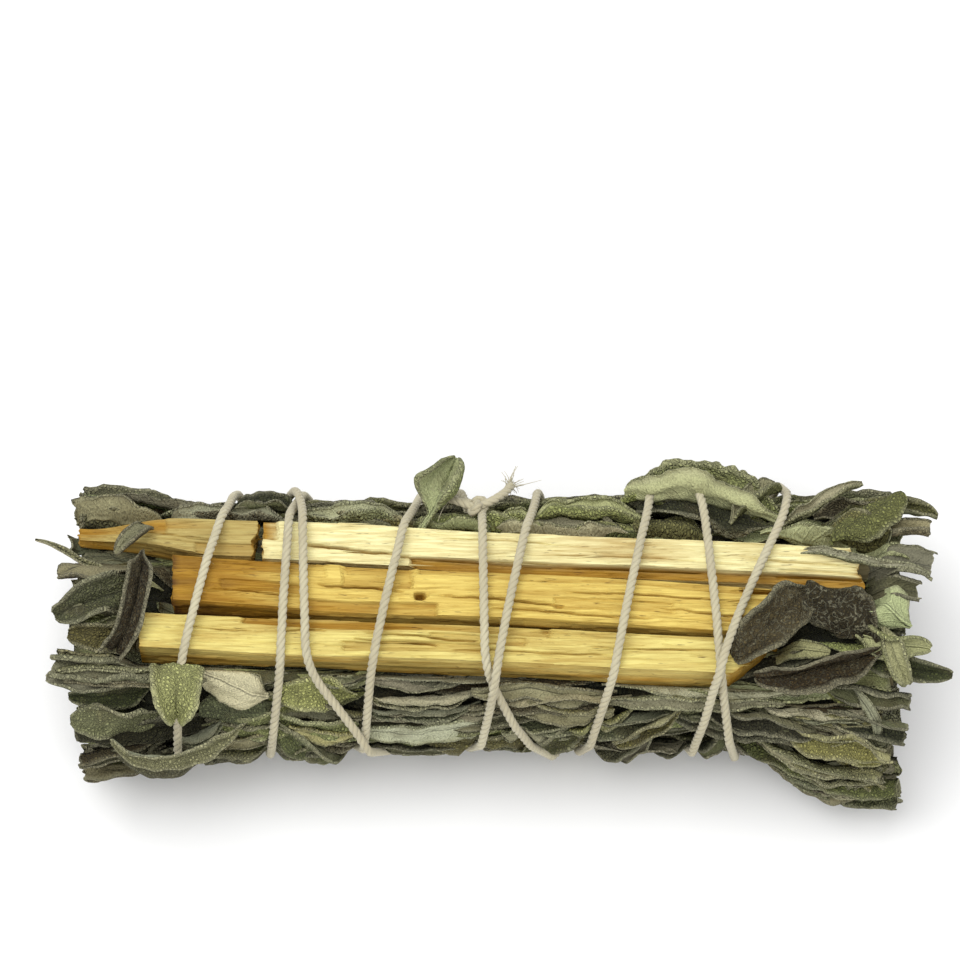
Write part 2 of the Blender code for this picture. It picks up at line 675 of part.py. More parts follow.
def twine_route(tree):
    """The points of the wound twine, from the knot round the bunch and back."""
    stations = pass_stations()
    turns = np.arange(stations[0][0], stations[-1][0] + TURN_STEP / 2, TURN_STEP)
    xs = np.interp(turns, [turn for turn, _ in stations], [x for _, x in stations])
    soft = np.ones(9) / 9
    xs[4:-4] = np.convolve(xs, soft, mode="valid")
    resting = np.array([resting_radius(tree, turn, x) for turn, x in zip(turns, xs)])
    resting = np.maximum(resting, np.maximum(np.roll(resting, 1), np.roll(resting, -1)))
    radii = resting
    per_turn = round(360 / TURN_STEP)
    for _ in range(8):
        radii = drawn_taut(np.maximum(resting, over_earlier_turns(radii, xs, per_turn)))
    points = [polar_point(x, turn, radius) for x, turn, radius in zip(xs, turns, radii)]
    lead = round(LEAD / TURN_STEP)
    points = points[lead:-lead]
    kept = [0]
    while kept[-1] < len(points) - 1:
        ahead = kept[-1] + 1
        while ahead + 1 < len(points) and strays_little(points, kept[-1], ahead + 1):
            ahead += 1
        kept.append(ahead)
    return [points[place] for place in kept]


def strays_little(points, first, last):
    """Whether a straight stretch stays this near to the route it replaces."""
    if last - first > MOST_STEPS:
        return False
    run = (points[last] - points[first]).normalized()
    for place in range(first + 1, last):
        away = points[place] - points[first]
        if (away - run * away.dot(run)).length > STRAY:
            return False
    return True


def cord(name, points, collection):
    """A round length of twine through the points, with closed ends, as a mesh."""
    line = bpy.data.curves.new(name, "CURVE")
    line.dimensions = "3D"
    line.bevel_depth = TWINE_RADIUS
    line.bevel_resolution = 1
    line.use_fill_caps = True
    spline = line.splines.new("POLY")
    spline.points.add(len(points) - 1)
    for place, point in enumerate(points):
        spline.points[place].co = (*point, 1)
    guide = new_object(name + "_line", line, collection)
    bpy.context.view_layer.update()
    mesh = bpy.data.meshes.new_from_object(guide.evaluated_get(bpy.context.evaluated_depsgraph_get()))
    work = bmesh.new()
    work.from_mesh(mesh)
    bmesh.ops.remove_doubles(work, verts=work.verts, dist=0.00001)
    bmesh.ops.recalc_face_normals(work, faces=work.faces)
    bmesh.ops.triangulate(work, faces=work.faces)
    work.to_mesh(mesh)
    work.free()
    bpy.data.objects.remove(guide)
    return mesh


def knot_middle(route):
    """Where the two ends of the twine are tied, just over the last turn."""
    over = (route[0] + route[-1]) / 2
    outward = Vector((0, over.y, over.z - AXIS_HEIGHT)).normalized()
    return over + outward * KNOT_LIFT


def wind_twine(solids, cutters, parts):
    bpy.context.view_layer.update()
    corners, faces = [], []
    for solid in solids:
        offset = len(corners)
        corners += [vertex.co.copy() for vertex in solid.data.vertices]
        faces += [[offset + index for index in face.vertices] for face in solid.data.polygons]
    route = twine_route(BVHTree.FromPolygons(corners, faces))
    knot = knot_middle(route)
    bpy.ops.mesh.primitive_torus_add(
        major_radius=KNOT_LOOP,
        minor_radius=TWINE_RADIUS,
        major_segments=10,
        minor_segments=6,
        location=knot,
        rotation=(math.radians(-PASS_TURNS[0]), math.radians(KNOT_TIP), 0),
    )
    loop = bpy.context.object
    for home in loop.users_collection:
        home.objects.unlink(loop)
    cutters.objects.link(loop)
    knot_radius = math.hypot(knot.y, knot.z - AXIS_HEIGHT)
    for tail in TAILS:
        points = [polar_point(x * MM, turn, knot_radius + lift * MM) for x, turn, lift in tail]
        new_object("tail", cord("tail", points, cutters), cutters)
    twine = new_object("twine", cord("twine", route, cutters), parts)
    combined(twine, "UNION", cutters)
    return twine


def paint(made, name, colour, roughness):
    finish = bpy.data.materials.new(name)
    finish.use_nodes = True
    shader = finish.node_tree.nodes["Principled BSDF"]
    shader.inputs["Base Color"].default_value = (*colour, 1)
    shader.inputs["Roughness"].default_value = roughness
    shader.inputs["Metallic"].default_value = 0
    made.data.materials.clear()
    made.data.materials.append(finish)


def main():
    for made in list(bpy.data.objects):
        bpy.data.objects.remove(made)
    parts = bpy.data.collections.new("sage_bunch")
    cutters = bpy.data.collections.new("cutters")
    for collection in (parts, cutters):
        bpy.context.scene.collection.children.link(collection)
    sprigs = grow_sprigs(cutters, parts)
    sticks = [split_stick(stick, parts) for stick in STICKS]
    twine = wind_twine(sprigs + sticks, cutters, parts)
    for made in (*sprigs, *sticks, twine):
        made.data.transform(Matrix.Translation(-MIDDLE))
    for place, sprig in enumerate(sprigs):
        shade = 1 + 0.25 * math.sin(2.4 * place)
        paint(sprig, sprig.name, (0.13 * shade, 0.14 * shade, 0.07 * shade), 0.9)
    for stick in sticks:
        paint(stick, stick.name, (0.62, 0.47, 0.15), 0.7)
    paint(twine, "cotton_twine", (0.45, 0.40, 0.24), 0.95)


main()
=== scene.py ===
"""The looks of a bound bunch of dried sage: its leaves and cut stems, the split wood on top, and the twine.

Metres, in the frame's own axes. A place on the bunch is given by x along it, by its turn round it in degrees
(0 is the top, 90 the front, 180 the underside) and by its lift, the height above the bound surface. Leaves
that show from in front and above are placed by x and by how far up they are seen from there, in millimetres.
"""

import functools
import math
import random
from dataclasses import dataclass

import bpy
import numpy as np
from bpy.props import FloatProperty, FloatVectorProperty, IntProperty, PointerProperty
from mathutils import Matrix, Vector, noise
from mathutils.bvhtree import BVHTree
from mathutils.kdtree import KDTree


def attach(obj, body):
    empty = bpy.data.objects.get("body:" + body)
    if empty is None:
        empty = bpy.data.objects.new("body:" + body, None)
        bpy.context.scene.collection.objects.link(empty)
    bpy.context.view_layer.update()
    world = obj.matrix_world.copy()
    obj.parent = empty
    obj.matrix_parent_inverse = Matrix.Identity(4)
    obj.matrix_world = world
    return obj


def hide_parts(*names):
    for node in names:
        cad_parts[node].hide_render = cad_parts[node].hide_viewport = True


bl_info = {
    "name": "Sage Bunch",
    "version": (1, 0, 0),
    "blender": (4, 5, 0),
    "location": "3D View > Sidebar > Sage Bunch",
    "description": "Dresses a bound bunch of dried sage with leaves, stems, split wood and twine",
    "category": "Add Mesh",
}

MM = 0.001

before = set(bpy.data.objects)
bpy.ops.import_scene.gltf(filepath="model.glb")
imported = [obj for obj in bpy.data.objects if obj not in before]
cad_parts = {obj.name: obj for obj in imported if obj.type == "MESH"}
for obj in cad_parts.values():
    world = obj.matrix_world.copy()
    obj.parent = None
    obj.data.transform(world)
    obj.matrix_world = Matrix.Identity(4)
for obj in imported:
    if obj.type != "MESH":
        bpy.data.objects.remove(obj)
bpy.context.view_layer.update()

# The bound bunch, as its solids have it
TRIM = 66.5 * MM
AXIS_HEIGHT = 18.0 * MM
HALF_WIDTH = 19.4 * MM
TOP_HEIGHT = 17.0 * MM
FOOT_DEPTH = 14.0 * MM
LOOSE_FOOT_DEPTH = 18.2 * MM
LOOSE_SPREAD = 2.2 * MM
LOOSE_FROM, LOOSE_TO = 42 * MM, 57 * MM
SQUARENESS = 2.3
SPLAY_TURN, SPLAY_REACH = 122.0, 34.0
SPLAY_RIGHT, SPLAY_LEFT = 7.0 * MM, 2.0 * MM
SPLAY_FROM, SPLAY_TO = 40 * MM, 62 * MM
MIDDLE = np.array((1.23, -1.53, 0.0)) * MM
EYE_RISE = math.radians(68.0)
HEART_RADIUS = 8.0 * MM
STICK_BED = 28.9 * MM
CORE_REACH = 62 * MM
CORE_DEPTH = 2.2 * MM
STEM_LENGTH = 12 * MM
STICK_ROWS = 150
BACK_EDGE = -52.0  # the turn of the outermost leaves that are placed as they are seen

SPRIG_TURNS = {
    "sage_sprig_top_back": (-54, 0),
    "sage_sprig_top_front": (0, 54),
    "sage_sprig_front_high": (54, 84),
    "sage_sprig_front_low": (84, 116),
    "sage_sprig_foot_front": (116, 150),
    "sage_sprig_foot": (150, 210),
    "sage_sprig_foot_back": (210, 244),
    "sage_sprig_back_low": (244, 276),
    "sage_sprig_back_high": (276, 306),
}
HEART = "sage_sprig_heart"

# The twine: x of each pass at the back shoulder, at the front edge of the sticks, and at the front foot
PASS_TURNS = (-42.0, 36.0, 80.0)
TWINE_PASSES = (
    (-1.3, -0.8, 6.0),
    (34.5, 36.7, 39.0),
    (48.8, 36.1, 33.3),
    (26.0, 19.8, 16.3),
    (7.0, 1.0, -1.3),
    (-12.7, -19.0, -20.3),
    (-32.2, -33.5, -35.3),
    (-42.6, -49.5, -50.5),
    (-30.4, -29.3, -19.2),
)
TWINE_END = -3.4
TAILS = (
    ((-2.4, -40.0, 0.0), (-4.4, -42.0, 0.5), (-6.6, -45.0, 0.7)),
    ((-2.4, -40.0, 0.0), (0.6, -44.0, 0.6), (2.6, -50.0, 1.0), (3.4, -56.0, 1.4)),
)
KNOT_LIFT = 0.9 * MM
TWINE_CLEARANCE = 0.45 * MM
TURN_STEP = 2.5
LEAD = 75.0
CHORD_REACH = 30
NO_CEILING = 1.0  # higher than anything in the bunch

# How every leaf dried: how far it sways and over what length, its pleats, its rolled margins, and its ripples
WANDER = 9.0 * MM
SWAY = 1.2 * MM
PLEATS = 3.0
PLEAT_LEAN = 34.0
RIM_ROLL = 130.0
LONG_RIPPLE, SHORT_RIPPLE = 3.4 * MM, 1.5 * MM
LONG_CRINKLE, SHORT_CRINKLE = 3.2 * MM, 1.2 * MM
TEETH_GAP = 1.3 * MM
TORN_EDGE = 0.8 * MM

# How many leaves are drawn at random: the settings' numbers are for a sprig of this many degrees, and there
# are more past the turn where the listed leaves end
SPRIG_WIDTH = 34.0
PLACED_TO = 150.0
UNPLACED_FILL = 1.7
CUT_DEPTHS = (0.5, 14.0)
HEART_CUT_DEPTHS = (6.0, 17.5)
HEART_CUT_SHARE = 9

# Rows and columns of faces in a filling leaf and in a cut one
FILL_DETAIL = (28, 10)
CUT_DETAIL = (9, 8)

# First seeds of each lot of leaves, so that no two leaves are alike, and the seeds of the other pieces
DRAWN_SEED, SPRIG_SEED_STEP, CUT_SEED, SEEN_SEED = 100, 1000, 300, 500
HEART_DRAWN_SEED, HEART_CORE_SEED, HEART_SEED = 77, 31, 20000
STEM_SEED, TWINE_SEED, FRAY_SEED = 5, 3, 9

# The stage: the lights are (name, place, size), in metres
FLOOR_REACH = 5.0
LIGHTS = (("key", (-0.15, 0.03, 0.68), 0.55), ("fill", (0.28, -0.50, 0.45), 0.60))
LIT_PLACE = (0, 0, 0.02)
PICTURE_WIDTH = 156 * MM
PICTURE_RISE = 24.4 * MM
PICTURE_MIDDLE = (-1.6 * MM, 0, 18 * MM)
TOP_NEARER = 10 * MM  # the picture's scale holds at the top of the bunch, not at its axis
SENSOR_WIDTH = 36


# Numbers and places


def mix(a, b, share):
    return a + (b - a) * share


def smooth(low, high, value):
    """0 below low, 1 above high, and an even ease between."""
    share = np.clip((value - low) / (high - low), 0.0, 1.0)
    return share * share * (3 - 2 * share)


def pressed(value, limit, softness):
    """The value kept under a limit that it meets gently, so that what lay higher stays higher."""
    return limit - softness * np.logaddexp(0.0, (limit - value) / softness)


def lifted(value, limit, softness):
    """The value kept over a limit, in the same way."""
    return -pressed(-value, -limit, softness)


def looseness(x):
    """How loose the bunch is here: 0 where the twine binds it, 1 at its ends."""
    return smooth(LOOSE_FROM, LOOSE_TO, np.abs(x))


def surface_radius(x, turn):
    """From the axis of the bunch out to its bound surface."""
    sine, cosine = np.sin(np.radians(turn)), np.cos(np.radians(turn))
    side = HALF_WIDTH + LOOSE_SPREAD * looseness(x)
    upright = np.where(cosine > 0, TOP_HEIGHT, mix(FOOT_DEPTH, LOOSE_FOOT_DEPTH, looseness(x)))
    shape = np.abs(sine / side) ** SQUARENESS + np.abs(cosine / upright) ** SQUARENESS
    away = np.abs((turn - SPLAY_TURN + 180) % 360 - 180) / SPLAY_REACH
    splay = np.where(np.asarray(x) > 0, SPLAY_RIGHT, SPLAY_LEFT) * smooth(SPLAY_FROM, SPLAY_TO, np.abs(x))
    return shape ** (-1 / SQUARENESS) + splay * np.maximum(0.0, 1 - away * away)


def polar(x, turn, radius):
    """Points at this radius from the axis of the bunch."""
    angle = np.radians(turn)
    x, angle, radius = np.broadcast_arrays(x, angle, radius)
    return np.stack((x, -radius * np.sin(angle), AXIS_HEIGHT + radius * np.cos(angle)), axis=-1) - MIDDLE


def unrolled(points):
    """x, turn and radius of points: the way back from polar."""
    at = points + MIDDLE
    up = at[..., 2] - AXIS_HEIGHT
    return at[..., 0], np.degrees(np.arctan2(-at[..., 1], up)), np.hypot(at[..., 1], up)


def seen_place(x, seen, lift):
    """The turn and lift of a place seen this far up: what the bunch hides is lifted until it shows."""
    high, low = BACK_EDGE, 118.0
    rise = math.cos(math.radians(high) + EYE_RISE)
    if (surface_radius(x, high) + lift) * rise < seen:
        return high, seen / rise - surface_radius(x, high)
    for _ in range(24):
        middle = (high + low) / 2
        if (surface_radius(x, middle) + lift) * math.cos(math.radians(middle) + EYE_RISE) > seen:
            high = middle
        else:
            low = middle
    return (high + low) / 2, lift


def unit(vectors):
    return vectors / np.maximum(np.linalg.norm(vectors, axis=-1, keepdims=True), 1e-12)


def roughness_at(points, scale, seed):
    """Smooth noise at points, one value each, with hills about this far apart."""
    flat = points.reshape(-1, 3) / scale + seed
    return np.array([noise.noise(point) for point in flat]).reshape(points.shape[:-1])


# Node trees


class Graph:
    """Adds nodes to a tree: each call makes one node, and joins or sets its inputs."""

    def __init__(self, tree):
        self.tree = tree

    def add(self, kind, inputs=None, **settings):
        node = self.tree.nodes.new(kind)
        for name, value in settings.items():
            setattr(node, name, value)
        for key, value in (inputs or {}).items():
            if isinstance(value, bpy.types.NodeSocket):
                self.tree.links.new(value, node.inputs[key])
            else:
                node.inputs[key].default_value = value
        return node

    def math(self, operation, *values):
        return self.add("ShaderNodeMath", dict(enumerate(values)), operation=operation).outputs[0]

    def vector(self, operation, *values, out=0):
        return self.add("ShaderNodeVectorMath", dict(enumerate(values)), operation=operation).outputs[out]

    def eased(self, value, low, high, start=0.0, end=1.0):
        """The value mapped from low and high to start and end, with an even ease."""
        inputs = {"Value": value, "From Min": low, "From Max": high, "To Min": start, "To Max": end}
        return self.add("ShaderNodeMapRange", inputs, interpolation_type="SMOOTHSTEP").outputs[0]

    def blend(self, share, a, b, blend_type="MIX"):
        node = self.add("ShaderNodeMix", {0: share, 6: a, 7: b}, data_type="RGBA", blend_type=blend_type)
        return node.outputs[2]

    def between(self, share, a, b):
        return self.add("ShaderNodeMix", {0: share, 2: a, 3: b}).outputs[0]

    def scaled(self, vector, factor):
        return self.add("ShaderNodeVectorMath", {0: vector, "Scale": factor}, operation="SCALE").outputs[0]

    def noise(self, place, scale, detail=3.0, out=0):
        inputs = {"Vector": place, "Scale": scale, "Detail": detail}
        return self.add("ShaderNodeTexNoise", inputs).outputs[out]

    def random(self, seed, low, high):
        """A random number for each point, or a random vector where low and high are vectors."""
        first, kind = (0, "FLOAT_VECTOR") if isinstance(low, tuple) else (2, "FLOAT")
        inputs = {first: low, first + 1: high, "Seed": seed}
        return self.add("FunctionNodeRandomValue", inputs, data_type=kind).outputs[first // 2]

    def stored(self, geometry, name, value, kind="FLOAT"):
        """The geometry with this value kept on each of its points."""
        inputs = {"Geometry": geometry, "Name": name, "Value": value}
        return self.add("GeometryNodeStoreNamedAttribute", inputs, data_type=kind, domain="POINT").outputs[0]

    def attribute(self, name, output="Fac"):
        return self.add("ShaderNodeAttribute", attribute_name=name).outputs[output]

    def stretched(self, place, scale):
        return self.add("ShaderNodeMapping", {"Vector": place, "Scale": scale}).outputs[0]


def new_finish(name, roughness, sheen=0.0):
    """A material with its shader, ready for its colour and its relief."""
    finish = bpy.data.materials.new(name)
    finish.use_nodes = True
    shader = finish.node_tree.nodes["Principled BSDF"]
    shader.inputs["Roughness"].default_value = roughness
    shader.inputs["Specular IOR Level"].default_value = 0.15
    shader.inputs["Sheen Weight"].default_value = sheen
    shader.inputs["Sheen Roughness"].default_value = 0.6
    return finish, Graph(finish.node_tree), shader


def set_surface(graph, shader, colour, height=None, depth=0.0, strength=1.0):
    """Joins a colour to the shader, and a relief of this depth where there is one."""
    graph.tree.links.new(colour, shader.inputs["Base Color"])
    if height is not None:
        bump = graph.add("ShaderNodeBump", {"Height": height, "Distance": depth, "Strength": strength})
        graph.tree.links.new(bump.outputs[0], shader.inputs["Normal"])


def sage_finish(settings):
    """Dried sage: pebbled above, felted below with raised veins, and paler along the margins; painted shade
    in the grooves between the pebbles and a painted highlight on the crests of crumpled leaves.
    """
    finish, graph, shader = new_finish("dried_sage", 0.88, sheen=0.03)
    flat = graph.add("ShaderNodeUVMap", uv_map="leaf").outputs[0]
    across, along, _ = graph.add("ShaderNodeSeparateXYZ", {0: flat}).outputs
    aside = graph.math("ABSOLUTE", across)
    chevron = graph.math("MULTIPLY_ADD", aside, -0.85, along)
    chevron = graph.math("MULTIPLY_ADD", graph.noise(flat, 0.35), 1.2, chevron)
    vein = graph.eased(graph.math("PINGPONG", chevron, settings.vein_gap / MM / 2), 0.0, 0.3, 1.0, 0.0)
    rib = graph.eased(aside, 0.05, 0.4, 1.0, 0.0)
    bent = graph.blend(0.22, flat, graph.noise(flat, 1.4, out="Color"), "ADD")
    cells = {"Vector": bent, "Scale": MM / settings.pebble_size}
    cell = graph.add("ShaderNodeTexVoronoi", cells, feature="DISTANCE_TO_EDGE").outputs["Distance"]
    pebble = graph.eased(cell, 0.0, 0.3)
    nap = graph.noise(flat, 3.4, 5.0)
    felt = graph.attribute("felt")
    top_height = graph.math("MULTIPLY_ADD", vein, -0.5, graph.math("MULTIPLY_ADD", rib, -0.6, pebble))
    felt_height = graph.math("MULTIPLY_ADD", vein, 0.25, graph.math("MULTIPLY_ADD", nap, 0.8, rib))
    contour = graph.math("PINGPONG", graph.math("MULTIPLY", graph.noise(bent, 0.42), 7.0), 0.5)
    ridge = graph.math("MULTIPLY", graph.eased(contour, 0.02, 0.24, 1.0, 0.0), graph.attribute("wrinkled"))
    height = graph.math("MULTIPLY_ADD", ridge, 1.4, graph.between(felt, top_height, felt_height))

    # Painted shade: the grooves between the pebbles are darkened, on top of the random nap.
    top_shade = graph.math("MULTIPLY_ADD", nap, 0.9, graph.eased(pebble, 0.0, 1.0, 0.34, 0.62))
    felt_shade = graph.math("MULTIPLY_ADD", vein, 0.14, graph.math("MULTIPLY_ADD", nap, 1.3, 0.3))
    felt_shade = graph.math("MULTIPLY_ADD", rib, 0.2, felt_shade)
    colour = graph.scaled(graph.attribute("tint", "Color"), graph.between(felt, top_shade, felt_shade))
    blotch = graph.eased(graph.noise(flat, 0.18, 4.0), 0.5, 0.72, 0.0, 0.55)
    colour = graph.blend(blotch, colour, (*settings.withered, 1))
    # Painted highlight: the crests of a crumpled leaf's wrinkles are lightened toward the rim colour.
    colour = graph.blend(graph.math("MULTIPLY", ridge, 0.36), colour, (*settings.rim, 1))
    rim = graph.eased(graph.attribute("margin"), 0.64, 1.0, 0.0, 0.5)
    colour = graph.blend(rim, colour, (*settings.rim, 1))
    set_surface(graph, shader, colour, height, 0.0006)
    return finish


def stem_finish(settings):
    """A cut herb stem: ribbed green-brown bark, and a pale pith at its cut end."""
    finish, graph, shader = new_finish("sage_stem", 0.8)
    place = graph.add("ShaderNodeTexCoord").outputs["Object"]
    fibre = graph.noise(graph.stretched(place, (90, 900, 900)), 1.0, 4.0)
    pith = graph.attribute("pith")
    bark = graph.blend(fibre, (*settings.stem_dark, 1), (*settings.stem_light, 1))
    colour = graph.blend(graph.eased(pith, 0.3, 0.9), bark, (*settings.pith, 1))
    set_surface(graph, shader, colour, fibre, 0.0002, 0.7)
    return finish


def wood_finish(settings):
    """Split incense wood: pale yellow, orange where it tore deeper, with fine dark pores along the grain and
    painted shade at the bottom of its cracks.
    """
    finish, graph, shader = new_finish("split_wood", 0.62)
    place = graph.add("ShaderNodeTexCoord").outputs["Object"]
    depth = graph.attribute("depth")
    tint = graph.attribute("tint", "Color")
    broad = graph.noise(graph.stretched(place, (35, 260, 260)), 1.0, 4.0)
    fine = graph.noise(graph.stretched(place, (160, 2600, 2600)), 1.0, 5.0)
    pores = graph.noise(graph.stretched(place, (420, 3400, 3400)), 1.0, 2.0)
    warm = graph.math("ADD", depth, graph.eased(broad, 0.48, 0.78, -0.08, 0.42))
    colour = graph.blend(graph.eased(warm, 0.0, 0.9), tint, (*settings.torn, 1))
    # Painted shade: the deepest recesses of the torn top, its splits and the knot hole take the dark crack
    # colour.
    colour = graph.blend(graph.eased(warm, 0.95, 1.7), colour, (*settings.crack_shade_and_pores, 1))
    colour = graph.blend(graph.eased(fine, 0.35, 0.75, 0.40, 0.0), colour, (*settings.torn, 1), "MULTIPLY")
    colour = graph.blend(graph.eased(pores, 0.64, 0.74, 0.0, 0.65), colour, (*settings.crack_shade_and_pores, 1))
    height = graph.math("MULTIPLY_ADD", pores, -0.5, graph.math("MULTIPLY_ADD", broad, 0.8, fine))
    set_surface(graph, shader, colour, height, 0.00022, 0.8)
    return finish


def twine_finish(settings):
    """Unbleached cotton: fibres that run along each ply, and shade where the plies meet."""
    finish, graph, shader = new_finish("cotton_twine", 0.92, sheen=0.25)
    along, around = graph.attribute("along"), graph.attribute("around")
    place = graph.add("ShaderNodeCombineXYZ", {0: along, 1: around}).outputs[0]
    fibre = graph.noise(graph.stretched(place, (700, 9, 1)), 1.0, 4.0)
    patch = graph.noise(graph.stretched(place, (60, 1, 1)), 1.0, 2.0)
    pale = graph.blend(graph.eased(patch, 0.3, 0.7), (*settings.shade, 1), (*settings.colour, 1))
    pale = graph.blend(graph.eased(fibre, 0.3, 0.7, 0.35, 0.0), pale, (*settings.shade, 1))
    # Painted shade where two plies meet: the colour darkens toward the twine's middle line.
    inner = graph.eased(graph.attribute("outward"), 0.35, 0.95, 0.75, 0.0)
    colour = graph.blend(inner, pale, (*settings.ply_groove_shade, 1))
    set_surface(graph, shader, colour, fibre, 0.00012, 0.8)
    return finish


# Leaves


@dataclass
class Leaf:
    """One leaf, its root and tip at (x, how far up it is seen). Lengths in millimetres, angles in degrees."""

    root: tuple
    tip: tuple
    width: float
    kind: str = "grey"
    felt_up: bool = False  # its felted underside faces outwards
    lift: tuple = (-2.5, -0.2, 0.0)  # at its root, middle and tip
    fold: tuple = (30, 25)  # how far its halves stand up, at its root and at its tip
    curl: tuple = (50, 80)  # how much further its margins roll over
    twist: tuple = (0, 0)
    bow: float = 0.0
    cut: bool = False
    stalk: float = 0.0  # share of its length that is bare leaf stalk
    crumple: float = 1.0
    wave: float = 16.0
    phase: float = 0.0
    over: bool = False  # lies over the twine and the sticks
    turns: tuple = ()  # at its root and tip, where it isn't placed as it is seen


def straggling_leaves():
    """Narrow dry leaves, frayed and bleached, that fan out at the low right corner."""
    draws = random.Random(41)
    kinds = ("white", "brown", "yellow", "pale", "umber", "white", "yellow", "white", "rose")
    leaves = []
    for place in range(20):
        share = (place + draws.random()) / 20
        leaves.append(
            Leaf(
                (draws.uniform(38, 50), mix(-11.5, -20.5, share)),
                (draws.uniform(59, 65.5), mix(-12.5, -25.4, share)),
                draws.uniform(2.4, 4.4),
                kinds[place % len(kinds)],
                draws.random() < 0.5,
                (-1.5, draws.uniform(-1.0, 0.4), draws.uniform(-1.2, 0.6)),
                (draws.uniform(20, 60), draws.uniform(20, 60)),
                (draws.uniform(60, 120), draws.uniform(40, 100)),
                (draws.uniform(-30, 30), draws.uniform(-60, 60)),
                draws.uniform(-1.5, 1.5),
                cut=draws.random() < 0.6,
                wave=draws.uniform(20, 44),
                phase=draws.uniform(0, 6),
            )
        )
    return leaves


